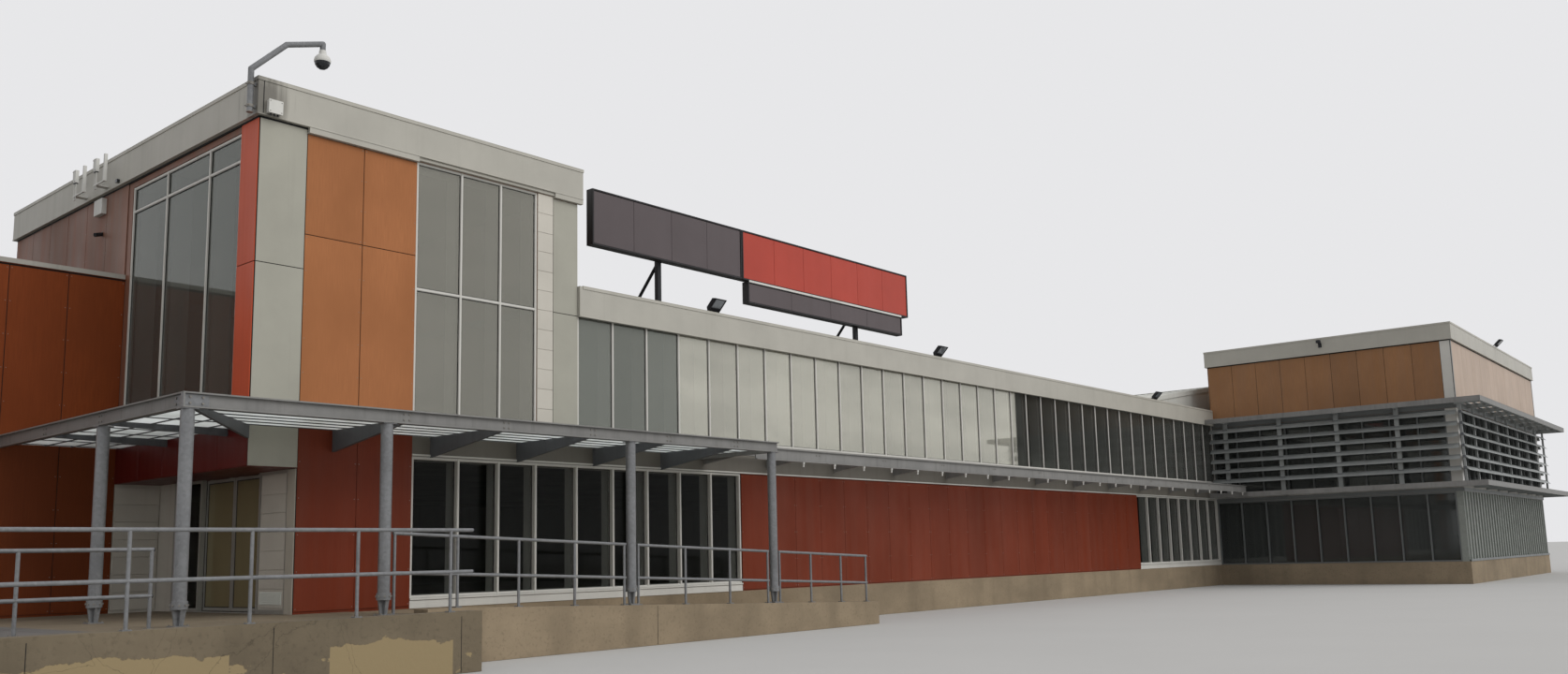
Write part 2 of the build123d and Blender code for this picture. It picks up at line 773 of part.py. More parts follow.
def shoe(x, y, foot):
    """Two crossed tapered fins under a column, from its foot plate up to its collar."""
    for face, along in ((Plane.XZ.offset(-y), x), (Plane.YZ.offset(x), y)):
        with BuildSketch(face) as outline:
            with BuildLine():
                Polyline(
                    (along - shoe_foot / 2, foot),
                    (along + shoe_foot / 2, foot),
                    (along + column_diameter / 2, foot + shoe_height),
                    (along - column_diameter / 2, foot + shoe_height),
                    close=True,
                )
            make_face()
        extrude(outline.sketch, amount=shoe_fin / 2, both=True)


# Round columns on tapered shoes with a collar and a base plate
corner_column_x = canopy_left + column_inset
front_column_y = canopy_front + column_inset
column_places = [(corner_column_x, first_side_rafter_y)]
column_places += [(x, front_column_y) for x in (corner_column_x, *front_column_x)]

with BuildPart() as canopy_columns:
    for x, y in column_places:
        rise = kerb_rise(x, terrace_right)
        foot = foot_plate(x, y, base_plate, plate_thickness, rise)
        shoe(x, y, foot)
        collar = (x, y, foot + shoe_height)
        tube(collar, (x, y, canopy_z[0]), column_diameter)
        tube(collar, (x, y, foot + shoe_height + collar_height), column_collar)
canopy_columns.part.label = "canopy_columns"
export_step(canopy_columns.part, "parts/canopy_columns.step")


# Railings: two tubes on posts with small foot plates
def railing(x, y, tops, post_x, kerb_from):
    """A railing along X: its ends, its depth, the top's height at both ends, and its posts."""
    slope = (tops[1] - tops[0]) / (x[1] - x[0])
    centre = tops[0] - rail_diameter / 2
    for drop in (0, mid_rail_drop):
        low = (x[0], y, centre - drop)
        high = (x[1], y, centre - drop + slope * (x[1] - x[0]))
        tube(low, high, rail_diameter)
    for post in post_x:
        rise = kerb_rise(post, kerb_from)
        plate_top = foot_plate(post, y, post_plate, post_plate_thickness, rise)
        tube((post, y, plate_top), (post, y, centre + slope * (post - x[0])), post_diameter)


def ramp_rail_top(x):
    """Height of the ramp's upper rail, which falls a little more than the walkway."""
    return outer_rail_top - ramp_rail_fall * (x - ramp_rail_posts[0][0])


outer_rail_y = rail_inset - terrace_projection
rail_left = left_x + rail_inset

with BuildPart() as railings:
    outer_posts = [*outer_post_x, rail_left + rail_overhang]
    level_tops = (outer_rail_top, outer_rail_top)
    railing((rail_left, outer_rail_end), outer_rail_y, level_tops, outer_posts, left_x)
    inner_posts = [*inner_post_x, rail_left + rail_overhang]
    level_tops = (inner_rail_top, inner_rail_top)
    railing((rail_left, inner_rail_end), front_column_y, level_tops, inner_posts, terrace_right)
    for posts in ramp_rail_posts:
        ends = (posts[0] - rail_overhang, posts[-1] + rail_overhang)
        tops = (ramp_rail_top(ends[0]), ramp_rail_top(ends[1]))
        railing(ends, front_column_y, tops, posts, terrace_right)
railings.part.label = "railings"
export_step(railings.part, "parts/railings.step")

# Thin canopy on brackets along the wing
wing_canopy_left = canopy_end + joint
wing_canopy_right = pavilion_x - shade_projection - joint
wing_canopy_x = (wing_canopy_left, wing_canopy_right)
wing_canopy_edge = -wing_canopy_projection + edge_bar
bracket_count = int((wing_canopy_right - first_bracket_x) // bracket_spacing)
bracket_x = [first_bracket_x + i * bracket_spacing for i in range(bracket_count + 1)]

with BuildPart() as wing_canopy:
    edge_z = (wing_canopy_top - wing_canopy_depth, wing_canopy_top)
    start = Plane.YZ.offset(wing_canopy_left)
    length = wing_canopy_right - wing_canopy_left
    channel(wing_canopy_edge, -wing_canopy_projection, start, length, edge_z)
    for x in (wing_canopy_left + bracket_width / 2, *bracket_x):
        root = (x, 0, wing_canopy_top)
        rib(root, (x, wing_canopy_edge, wing_canopy_top), bracket_root, bracket_tip, bracket_width)
    for i in range(slat_count):
        slat_y = across(-wing_canopy_projection * (i + 0.5) / slat_count, slat_width)
        block(wing_canopy_x, slat_y, (wing_canopy_top - slat_thickness, wing_canopy_top))
wing_canopy.part.label = "wing_canopy"
export_step(wing_canopy.part, "parts/wing_canopy.step")

# Pavilion floor, with its edge showing under the louvres
with BuildPart() as pavilion_floor:
    block((pavilion_x, right_x), (pavilion_y, 0), (pavilion_floor_z - pavilion_slab, pavilion_floor_z))
pavilion_floor.part.label = "pavilion_floor"
export_step(pavilion_floor.part, "parts/pavilion_floor.step")

# Ribbed metal wall across the pavilion's ground floor
pavilion_lower_z = (floor_z, pavilion_floor_z - pavilion_slab)
rib_count = int((right_x - pavilion_x) // rib_pitch)

with BuildPart() as pavilion_ribbed_wall:
    block((pavilion_x, right_x), (pavilion_y + rib_height, pavilion_y + wall), pavilion_lower_z)
    for i in range(rib_count):
        x = pavilion_x + (i + 0.5) * (right_x - pavilion_x) / rib_count
        block(across(x, rib_width), (pavilion_y, pavilion_y + rib_height), pavilion_lower_z)
pavilion_ribbed_wall.part.label = "pavilion_ribbed_wall"
export_step(pavilion_ribbed_wall.part, "parts/pavilion_ribbed_wall.step")

# Wall between the pavilion and the hall, below and above the upper floor
with BuildPart() as pavilion_back_wall:
    block((pavilion_x, right_x - wall), (0, wall), (floor_z, slab_z))
    block((pavilion_x, right_x - wall), (0, wall), (upper_z, roof_z - roof_slab))
pavilion_back_wall.part.label = "pavilion_back_wall"
export_step(pavilion_back_wall.part, "parts/pavilion_back_wall.step")

# Pavilion windows on three sides of the upper floor, and on the ends below
pavilion_upper_z = (pavilion_floor_z, pavilion_window_head)
pavilion_front_x = (pavilion_x + wall, right_x - wall)
pavilion_front_bars = (pavilion_y + joint, pavilion_y + joint + frame_depth)
pavilion_front_sheet = (pavilion_front_bars[1], pavilion_front_bars[1] + glass)
pavilion_left_bars = (pavilion_x + joint, pavilion_x + joint + frame_depth)
pavilion_left_sheet = (pavilion_left_bars[1], pavilion_left_bars[1] + glass)
pavilion_right_bars = (right_x - joint - frame_depth, right_x - joint)
pavilion_right_sheet = (pavilion_right_bars[0] - glass, pavilion_right_bars[0])
upper_side_y = (pavilion_y + corner_post, 0)
lower_side_y = (pavilion_y + wall, 0)

with BuildPart() as pavilion_window_frames:
    lights = steps(pavilion_front_x[0], pavilion_front_x[1], pavilion_lights)[1:-1]
    bar_grid(pavilion_front_x, pavilion_front_bars, pavilion_upper_z, lights, [])
    upper_lights = steps(upper_side_y[0], upper_side_y[1], side_window_lights)[1:-1]
    lower_lights = steps(lower_side_y[0], lower_side_y[1], side_window_lights)[1:-1]
    for bars in (pavilion_left_bars, pavilion_right_bars):
        bar_grid(upper_side_y, bars, pavilion_upper_z, upper_lights, [], side=True)
        bar_grid(lower_side_y, bars, pavilion_lower_z, lower_lights, [], side=True)
pavilion_window_frames.part.label = "pavilion_window_frames"
export_step(pavilion_window_frames.part, "parts/pavilion_window_frames.step")

with BuildPart() as pavilion_glass:
    block(pavilion_front_x, pavilion_front_sheet, pavilion_upper_z)
    for sheet in (pavilion_left_sheet, pavilion_right_sheet):
        block(sheet, upper_side_y, pavilion_upper_z)
        block(sheet, lower_side_y, pavilion_lower_z)
pavilion_glass.part.label = "pavilion_glass"
export_step(pavilion_glass.part, "parts/pavilion_glass.step")

with BuildPart() as pavilion_corner_posts:
    for post_x in ((pavilion_x, pavilion_x + wall), (right_x - wall, right_x)):
        block(post_x, (pavilion_y, pavilion_y + corner_post), pavilion_upper_z)
pavilion_corner_posts.part.label = "pavilion_corner_posts"
export_step(pavilion_corner_posts.part, "parts/pavilion_corner_posts.step")

with BuildPart() as pavilion_upper_walls:
    ring((pavilion_x, right_x), (pavilion_y, 0), (pavilion_window_head, fascia_bottom), wall)
pavilion_upper_walls.part.label = "pavilion_upper_walls"
export_step(pavilion_upper_walls.part, "parts/pavilion_upper_walls.step")

# Sunshades and louvre screens on three sides of the pavilion
side_post_y = [-first_side_post - i * side_post_spacing for i in range(side_louvre_posts)]
screen_left = pavilion_x - louvre_gap
screen_right = right_x + louvre_gap
screen_front = pavilion_y - front_louvre_gap
front_post_x = steps(screen_left + louvre_post / 2, screen_right - louvre_post / 2, front_louvre_spaces)
side_shade_y = (pavilion_y + joint, -fascia_projection - joint)


def front_sunshade(top):
    """The front run of a sunshade: an edge bar, brackets and slats."""
    x = (pavilion_x - shade_projection, right_x + shade_projection)
    tip_y = pavilion_y - shade_projection
    depth = (top - shade_depth, top)
    block(x, (tip_y, tip_y + edge_bar), depth)
    for arm_x in [x[0] + bracket_width / 2, *front_post_x, x[1] - bracket_width / 2]:
        block(across(arm_x, bracket_width), (tip_y, pavilion_y), depth)
    for i in range(shade_slats):
        slat_y = across(pavilion_y - shade_projection * (i + 0.5) / shade_slats, slat_width)
        block(x, slat_y, (top - slat_thickness, top))


def side_sunshade(top, wall_x, outward):
    """A side run of a sunshade, on the wall face at wall_x; outward is 1 or -1."""
    tip_x = wall_x + outward * shade_projection
    depth = (top - shade_depth, top)
    block(across(tip_x - outward * edge_bar / 2, edge_bar), side_shade_y, depth)
    for post_y in side_post_y:
        block(across((wall_x + tip_x) / 2, shade_projection), across(post_y, bracket_width), depth)
    for i in range(shade_slats):
        slat_x = across(wall_x + outward * shade_projection * (i + 0.5) / shade_slats, slat_width)
        block(slat_x, side_shade_y, (top - slat_thickness, top))


with BuildPart() as upper_sunshade:
    front_sunshade(upper_shade_top)
    side_sunshade(upper_shade_top, pavilion_x, -1)
    side_sunshade(upper_shade_top, right_x, 1)
upper_sunshade.part.label = "upper_sunshade"
export_step(upper_sunshade.part, "parts/upper_sunshade.step")

with BuildPart() as lower_sunshade:
    front_sunshade(lower_shade_top)
    side_sunshade(lower_shade_top, pavilion_x, -1)
    side_sunshade(lower_shade_top, right_x, 1)
lower_sunshade.part.label = "lower_sunshade"
export_step(lower_sunshade.part, "parts/lower_sunshade.step")

# Posts stand on the lower sunshade and carry six curved blades
screen_post_z = (lower_shade_top, upper_shade_top - shade_depth)
blade_heights = [louvre_top - i * louvre_pitch for i in range(louvre_levels)]
side_blade_length = -screen_front - blade_chord / 2 - 2 * joint


def blades(start, centre, tilt, length):
    """Six tilted blades of lens section, drawn across their run at the start plane."""
    run = steps(-1, 1, blade_facets)
    upper = [(blade_chord / 2 * s, blade_camber / 2 * (1 - s * s)) for s in run]
    lower = [(s, -thickness) for s, thickness in upper[-2:0:-1]]
    with BuildSketch(start) as section:
        with Locations(*[(centre, height) for height in blade_heights]):
            Polygon(*upper, *lower, rotation=tilt, align=None)
    extrude(section.sketch, amount=length)


def side_screen(plane_x, outward):
    """One side screen in the plane at plane_x; outward is 1 or -1."""
    for post_y in side_post_y:
        post_x = across(plane_x - outward * louvre_post / 2, louvre_post)
        block(post_x, across(post_y, side_louvre_post), screen_post_z)
    blades(Plane.XZ.offset(joint), plane_x, -outward * blade_tilt, side_blade_length)


with BuildPart() as louvre_screens:
    for x in front_post_x:
        block(across(x, louvre_post), (screen_front, screen_front + louvre_post), screen_post_z)
    blades(Plane.YZ.offset(screen_left), screen_front, blade_tilt, screen_right - screen_left)
    side_screen(screen_left, -1)
    side_screen(screen_right, 1)
louvre_screens.part.label = "louvre_screens"
export_step(louvre_screens.part, "parts/louvre_screens.step")

# Ribbed pitched roof that stands behind the wing, its ridge along Y
gable_ridge = gable_left + gable_width / 2
gable_right = gable_left + gable_width
with BuildPart() as pitched_roof:
    with BuildSketch(Plane.XZ.offset(-(back_y - wall))) as gable_outline:
        with BuildLine():
            Polyline(
                (gable_left, roof_z),
                (gable_right, roof_z),
                (gable_right, roof_z + gable_eaves),
                (gable_ridge, roof_z + gable_eaves + gable_rise),
                (gable_left, roof_z + gable_eaves),
                close=True,
            )
        make_face()
    extrude(amount=back_y - wall - gable_setback)
    with BuildSketch(Plane.XZ.offset(-(back_y - wall - gable_sheet))) as gable_void:
        with BuildLine():
            Polyline(
                (gable_left + gable_sheet, roof_z),
                (gable_right - gable_sheet, roof_z),
                (gable_right - gable_sheet, roof_z + gable_eaves - gable_sheet),
                (gable_ridge, roof_z + gable_eaves + gable_rise - gable_sheet),
                (gable_left + gable_sheet, roof_z + gable_eaves - gable_sheet),
                close=True,
            )
        make_face()
    extrude(amount=back_y - wall - gable_setback - 2 * gable_sheet, mode=Mode.SUBTRACT)
pitched_roof.part.label = "pitched_roof"
export_step(pitched_roof.part, "parts/pitched_roof.step")

# Blank sign boards on a steel frame behind the parapet
board_y = (sign_y, sign_y + board_thickness)
post_y = (board_y[1], board_y[1] + sign_tube)
band_z = (sign_bottom - joint - band_height, sign_bottom - joint)

with BuildPart() as sign_boards:
    block((sign_left, sign_split), board_y, (sign_bottom, sign_bottom + sign_height))
    block((sign_split + joint, sign_right), board_y, (sign_bottom, sign_bottom + sign_height))
    block((band_left, band_right), board_y, band_z)
sign_boards.part.label = "sign_boards"
export_step(sign_boards.part, "parts/sign_boards.step")

brace_foot_y = post_y[1] + brace_reach
with BuildPart() as sign_frame:
    for x in sign_post_x:
        block(across(x, sign_tube), post_y, (roof_z, sign_rail_top))
        brace_top = (x, post_y[1] - sign_tube / 2, sign_bottom)
        tube(brace_top, (x, brace_foot_y, roof_z + brace_tube / 2), brace_tube)
        block(across(x, brace_foot), across(brace_foot_y, brace_foot), (roof_z, roof_z + brace_tube))
    for height in (sign_bottom + sign_tube, sign_rail_top - sign_tube):
        block((sign_left + sign_tube, sign_right - sign_tube), post_y, (height, height + sign_tube))
sign_frame.part.label = "sign_frame"
export_step(sign_frame.part, "parts/sign_frame.step")


def floodlight(x, y, base):
    """A flat tapered floodlight on a bent arm, leaning out with its wide face below."""
    elbow = (x, y, base + flood_arm)
    middle = (x, y - flood_reach, base + flood_rise)
    tube((x, y, base), elbow, flood_arm_diameter)
    tube(elbow, middle, flood_arm_diameter)
    with BuildSketch(Plane.YZ.offset(x - flood_size / 2)) as housing:
        with Locations(middle[1:]):
            Polygon(
                (-flood_size / 2, -flood_thickness / 2),
                (flood_size / 2, -flood_thickness / 2),
                (flood_back / 2, flood_thickness / 2),
                (-flood_back / 2, flood_thickness / 2),
                rotation=-flood_tilt,
                align=None,
            )
    extrude(housing.sketch, amount=flood_size)


with BuildPart() as floodlights:
    for x in flood_x:
        floodlight(x, fascia_thickness / 2, wing_top)
    floodlight(pavilion_flood_x, pavilion_y, fascia_bottom + fascia_height)
floodlights.part.label = "floodlights"
export_step(floodlights.part, "parts/floodlights.step")

# Slim aerials on arms at the side fascia, with a box under them and one on the front
with BuildPart() as aerials_and_boxes:
    aerial_x = -fascia_projection - aerial_reach
    for y in aerial_y:
        panel_z = (aerial_bottom, aerial_bottom + aerial_height)
        block(across(aerial_x, aerial_thickness), across(y, aerial_width), panel_z)
        for tube_y in (y - aerial_tube_gap / 2, y + aerial_tube_gap / 2):
            tube((aerial_x, tube_y, fascia_bottom), (aerial_x, tube_y, aerial_bottom), aerial_tube)
        small_y = y + small_aerial_offset
        arm_z = across(aerial_arm_z, aerial_tube)
        block((aerial_x - aerial_tube / 2, -fascia_projection), across(y, 2 * aerial_tube_gap), arm_z)
        block(across(aerial_x, aerial_tube), (small_y, y), arm_z)
        block(across(aerial_x, small_aerial), across(small_y, small_aerial), (arm_z[0], panel_z[1]))
    box_z = (service_box_top - service_box[2], service_box_top)
    block((-service_box[1], 0), across(service_box_y, service_box[0]), box_z)
    box_y = (-fascia_projection - junction_box[1], -fascia_projection)
    box_z = (junction_box_top - junction_box[2], junction_box_top)
    block(across(junction_box_x, junction_box[0]), box_y, box_z)
aerials_and_boxes.part.label = "aerials_and_boxes"
export_step(aerials_and_boxes.part, "parts/aerials_and_boxes.step")

# Camera mast on the tower corner, bent over to a dome
mast_x = -fascia_projection - mast_standoff
mast_y = mast_diameter - fascia_projection
mast_foot = (mast_x, mast_y, fascia_bottom + joint)
mast_knee = (mast_x, mast_y, fascia_bottom + fascia_height + mast_knee_height)
mast_bend = (mast_x + mast_bend_reach, mast_y, mast_top - mast_arm_rise)
mast_tip = (mast_x + mast_reach, mast_y, mast_top)
dome_centre = (mast_tip[0], mast_tip[1], mast_top - dome_drop)

with BuildPart() as camera_mast:
    tube(mast_foot, mast_knee, mast_diameter)
    tube(mast_knee, mast_bend, mast_diameter)
    tube(mast_bend, mast_tip, mast_diameter)
    tube(mast_tip, dome_centre, mast_diameter)
    for place, diameter in (
        (mast_knee, mast_diameter),
        (mast_bend, mast_diameter),
        (mast_tip, mast_diameter),
        (dome_centre, dome_diameter),
    ):
        with Locations(place):
            Sphere(diameter / 2)
    for share in (0.2, 0.8):
        height = fascia_bottom + fascia_height * share
        block((mast_x, -fascia_projection), across(mast_y, mast_bracket), across(height, mast_bracket))
camera_mast.part.label = "camera_mast"
export_step(camera_mast.part, "parts/camera_mast.step")
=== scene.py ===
import math
import random

import bmesh
import bpy
from mathutils import Matrix, Vector


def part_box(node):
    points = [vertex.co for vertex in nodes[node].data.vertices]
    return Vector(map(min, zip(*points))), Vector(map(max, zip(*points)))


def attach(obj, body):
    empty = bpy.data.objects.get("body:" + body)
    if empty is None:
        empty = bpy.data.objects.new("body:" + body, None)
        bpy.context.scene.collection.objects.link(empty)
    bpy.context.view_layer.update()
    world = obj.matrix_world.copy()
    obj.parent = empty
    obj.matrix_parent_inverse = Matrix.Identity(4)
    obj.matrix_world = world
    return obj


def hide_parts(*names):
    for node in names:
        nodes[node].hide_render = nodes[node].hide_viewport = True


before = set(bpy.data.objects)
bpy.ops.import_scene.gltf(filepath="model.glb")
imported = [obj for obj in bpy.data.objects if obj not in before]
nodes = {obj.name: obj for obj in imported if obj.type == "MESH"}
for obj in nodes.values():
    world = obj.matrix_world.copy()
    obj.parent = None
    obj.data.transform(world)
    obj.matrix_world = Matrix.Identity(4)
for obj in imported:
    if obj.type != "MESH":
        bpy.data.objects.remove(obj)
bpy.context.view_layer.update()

# The model is at 1:2, so a real metre is half a metre here
METRE = 0.5
BODY = "building"
scene = bpy.context.scene
random.seed(7)
floor_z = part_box("foundation")[1].z

# Places and sizes in real metres, the same as in the solids, with z above the shop floor
TOWER = (6.25, 10.4)
TOWER_GLASS = (2.745, 5.3)
TOWER_GLASS_Z = (3.1, 7.52)
TOWER_SIDE_GLASS = (0.56, 4.62)
WHITE_STRIP = (5.3, 5.66)
RECESS = 0.77
LOW_WING_Y = 4.8
LEFT_X = -5.4
WING = (6.25, 37.75)
SHOP = (2.745, 10.75)
REAR_SHOP = (30.55, WING[1])
SHOP_Z = (0.16, 2.48)
MODULE = 0.9
PAVILION_Y = -8.45
RIGHT_X = 53.05
BACK_Y = 22.5
WALL = 0.25
SLAB_Z = 2.9
UPPER_Z = 3.1
WING_TOP = 5.88
FASCIA_Z = (7.58, 8.17)
OVERHANG = 0.08
TERRACE_Y = -3.5
TERRACE_END = 1.65
RAMP_Y = -2.2
CANOPY = (-1.85, 9.6)
CANOPY_Y = -2.1
DECK_Z = 2.81
RAFTER_X = [1.35 + 1.765 * i for i in range(5)]
BRACKET_X = [11.61 + 2.41 * i for i in range(11)]
COLUMN_Y = -2.0
COLUMNS = [(-1.75, 0.65, 0.0)]
COLUMNS += [(x, COLUMN_Y, z) for x, z in ((-1.75, 0.0), (1.06, 0.0), (5.76, -0.06), (9.47, -0.185))]

# Thickness of panels, of the strips behind them and of small plates; panel joints and rivet steps
SHEET = 0.012
TAPE = 0.003
PLATE = 0.012
GAP = 0.012
RIVET_STEP = 0.6


# Node materials
def linear(tint):
    """The linear colour of a tint, a hex code."""
    channels = [int(tint[i : i + 2], 16) / 255 for i in (1, 3, 5)]
    return [c / 12.92 if c <= 0.04045 else ((c + 0.055) / 1.055) ** 2.4 for c in channels]


def feed(tree, socket, value):
    """A number, a colour or the output of another node for a socket."""
    if isinstance(value, bpy.types.NodeSocket):
        tree.links.new(value, socket)
    elif socket.type == "RGBA":
        socket.default_value = (*value[:3], 1.0)
    else:
        socket.default_value = value


def add_node(tree, kind, sockets=None, **settings):
    """The outputs of a new node with its settings and with what goes into its sockets."""
    made = tree.nodes.new("ShaderNode" + kind)
    for key, value in settings.items():
        setattr(made, key, value)
    for key, value in (sockets or {}).items():
        feed(tree, made.inputs[key], value)
    return made.outputs


class Shader:
    """A material under construction: base colour, node tree, shader and object coordinates."""

    def __init__(self, name, tint="#ffffff", roughness=0.6, metallic=0.0, gloss=0.5):
        self.base = linear(tint)
        self.material = bpy.data.materials.new(name)
        self.material.use_nodes = True
        self.tree = self.material.node_tree
        self.surface = self.tree.nodes["Principled BSDF"]
        self.put("Roughness", roughness)
        self.put("Metallic", metallic)
        self.put("Specular IOR Level", gloss)
        self.place = self.node("TexCoord")["Object"]

    def put(self, key, value):
        """A value or a link for one of the shader's own sockets."""
        feed(self.tree, self.surface.inputs[key], value)

    def node(self, kind, sockets=None, **settings):
        return add_node(self.tree, kind, sockets, **settings)

    def shade(self, factor):
        """The base colour times a factor."""
        return [c * factor for c in self.base]

    def stretched(self, scale):
        """The object coordinates scaled by a factor along each axis."""
        return self.node("Mapping", {"Vector": self.place, "Scale": scale})["Vector"]

    def noise(self, scale, detail=4.0, stretch=(1, 1, 1), roughness=0.55):
        """A noise value between 0 and 1."""
        sockets = {"Vector": self.stretched(stretch), "Scale": scale, "Detail": detail}
        return self.node("TexNoise", {**sockets, "Roughness": roughness})["Fac"]

    def ramp(self, value, low, high, out_low=0.0, out_high=1.0):
        """The value stretched so that low and high become out_low and out_high, clamped."""
        names = ("Value", "From Min", "From Max", "To Min", "To Max")
        sockets = dict(zip(names, (value, low, high, out_low, out_high)))
        return self.node("MapRange", sockets)["Result"]

    def maths(self, operation, a, b=0.0):
        """One operation on two values, each a socket or a number."""
        return self.node("Math", {0: a, 1: b}, operation=operation)["Value"]

    def mix(self, factor, a, b, blend="MIX"):
        """Two colours mixed; each is a socket or a linear colour."""
        # The colours of a Mix node are its sockets 6 and 7, and their result is its output 2
        return self.node("Mix", {0: factor, 6: a, 7: b}, data_type="RGBA", blend_type=blend)[2]

    def axis(self, name):
        """One object coordinate: X along the front, Y into the building or Z, the height."""
        return self.node("SeparateXYZ", {"Vector": self.place})[name]

    def between(self, value, low, high):
        """1 where the value lies between low and high, else 0."""
        above = self.maths("GREATER_THAN", value, low)
        return self.maths("MULTIPLY", above, self.maths("LESS_THAN", value, high))

    def times(self, colour, value):
        """The colour times a value."""
        grey = self.node("CombineColor", {0: value, 1: value, 2: value})
        return self.mix(1.0, colour, grey["Color"], blend="MULTIPLY")

    def tone(self, colour, amount):
        """The colour made lighter or darker panel by panel, by the tone each panel was built with."""
        tone = self.node("Attribute", attribute_name="tone")["Fac"]
        return self.times(colour, self.ramp(tone, 0.0, 1.0, 1.0 - amount, 1.0 + amount))

    def bump(self, value, strength, distance):
        """Relief from a value, on the shader's normal."""
        sockets = {"Height": value, "Strength": strength, "Distance": distance}
        self.put("Normal", self.node("Bump", sockets)["Normal"])

    def finish(self, colour, roughness=None):
        """The colour, and a roughness that varies where one is given."""
        self.put("Base Color", colour)
        if roughness is not None:
            self.put("Roughness", roughness)
        return self.material


def veneer(name, tint, grain, weather=0.0):
    """A varnished wood-look panel with upright grain, blotches and rain streaks."""
    s = Shader(name, tint, 0.55, gloss=0.2)
    fine = s.noise(9.0, 6.0, (14, 14, 0.7))
    broad = s.noise(1.6, 3.0, (1, 1, 0.6))
    colour = s.mix(s.ramp(fine, 0.3, 0.7), s.shade(1 - grain), s.shade(1 + grain))
    colour = s.mix(s.ramp(broad, 0.35, 0.7), colour, s.shade(0.82))
    if weather:
        streak = s.noise(3.0, 5.0, (2.5, 2.5, 0.15))
        greyed = s.ramp(streak, 0.35, 0.75, 0.15 * weather, weather)
        colour = s.mix(greyed, colour, linear("#75665c"))
    s.bump(fine, 0.12, 0.002)
    return s.finish(s.tone(colour, 0.07), s.ramp(broad, 0.3, 0.7, 0.42, 0.62))


def coated(name, tint, roughness, dirt, dirt_colour="#5c5850", metallic=0.0, stain=None):
    """Coated sheet metal with faint mottling and run-down dirt, stained round one place above ground."""
    s = Shader(name, tint, roughness, metallic=metallic, gloss=0.3)
    broad = s.noise(2.2, 5.0)
    streak = s.noise(4.0, 6.0, (3.0, 3.0, 0.12), roughness=0.6)
    colour = s.mix(s.ramp(broad, 0.3, 0.7), s.shade(0.93), s.shade(1.05))
    colour = s.mix(s.ramp(streak, 0.55, 0.85, 0.0, dirt), colour, linear(dirt_colour))
    if stain:
        sockets = {0: s.place, 1: [METRE * c for c in stain]}
        reach = s.node("VectorMath", sockets, operation="DISTANCE")["Value"]
        edge = s.maths("ADD", reach, s.ramp(streak, 0.3, 0.7, 0.1, -0.1))
        colour = s.mix(s.ramp(edge, 0.08, 0.27, 0.7, 0.0), colour, linear("#4d4943"))
    s.bump(broad, 0.05, 0.01)
    rough = s.ramp(streak, 0.3, 0.8, roughness * 0.85, min(1.0, roughness * 1.3))
    return s.finish(s.tone(colour, 0.03), rough)


def galvanised(name, tint, metallic, spangle=0.1):
    """Zinc-coated steel: small crystals of slightly different grey and dull patches."""
    s = Shader(name, tint, 0.45, metallic=metallic)
    cells = s.node("TexVoronoi", {"Vector": s.place, "Scale": 55.0})["Color"]
    crystal = s.node("SeparateColor", {"Color": cells})["Red"]
    dull = s.noise(5.0, 5.0)
    colour = s.mix(crystal, s.shade(1 - spangle), s.shade(1 + spangle))
    colour = s.mix(s.ramp(dull, 0.5, 0.75, 0.0, 0.45), colour, s.shade(0.72))
    s.bump(dull, 0.06, 0.004)
    return s.finish(colour, s.ramp(dull, 0.3, 0.7, 0.38, 0.6))


def weathered_steel(name, tint, roughness, stain):
    """Dull painted steel with dark run marks and chalky patches."""
    s = Shader(name, tint, roughness)
    patch = s.noise(3.5, 7.0, roughness=0.65)
    run = s.noise(7.0, 6.0, (3.0, 3.0, 0.25))
    colour = s.mix(s.ramp(patch, 0.35, 0.7), s.shade(0.84), s.shade(1.12))
    colour = s.mix(s.ramp(run, 0.52, 0.75, 0.0, stain), colour, s.shade(0.5))
    s.bump(patch, 0.1, 0.004)
    return s.finish(colour, s.ramp(patch, 0.3, 0.7, roughness * 0.8, roughness * 1.2))


def concrete(name, tint, patches=()):
    """Cast concrete with pores and stains; low patches of flaked render, and cracks."""
    s = Shader(name, tint, 0.9)
    broad = s.noise(0.9, 6.0, (1, 1, 1.8), roughness=0.65)
    pores = s.noise(38.0, 3.0)
    damp = s.noise(2.2, 6.0, (1.2, 1.2, 0.3))
    colour = s.mix(s.ramp(broad, 0.3, 0.72), s.shade(0.74), s.shade(1.16))
    colour = s.mix(s.ramp(damp, 0.48, 0.72, 0.0, 0.55), colour, s.shade(0.55))
    colour = s.mix(s.ramp(pores, 0.3, 0.45, 0.35, 0.0), colour, s.shade(0.45))
    if not patches:
        s.bump(pores, 0.25, 0.003)
        return s.finish(colour)
    flaked = s.noise(2.6, 5.0, (1.0, 1.0, 1.3), roughness=0.6)
    low = s.ramp(s.axis("Z"), 0.17, 0.33, 0.28, -0.32)
    along = s.axis("X")
    left, right = (s.between(along, start * METRE, end * METRE) for start, end in patches)
    chosen = s.maths("ADD", low, s.ramp(s.maths("ADD", left, right), 0.0, 1.0, -0.3, 0.0))
    edge = s.ramp(s.maths("ADD", flaked, chosen), 0.49, 0.505)
    colour = s.mix(edge, colour, linear("#8d7d5e"))
    sockets = {"Vector": s.stretched((1.0, 1.0, 0.55)), "Scale": 0.9}
    cracks = s.node("TexVoronoi", sockets, feature="DISTANCE_TO_EDGE")["Distance"]
    wobble = s.ramp(s.noise(6.0, 5.0), 0.3, 0.7, 0.0, 0.03)
    line = s.ramp(s.maths("ABSOLUTE", s.maths("SUBTRACT", cracks, wobble)), 0.0, 0.0012, 0.55, 0.0)
    s.bump(s.maths("SUBTRACT", pores, edge), 0.35, 0.004)
    return s.finish(s.mix(line, colour, s.shade(0.3)))


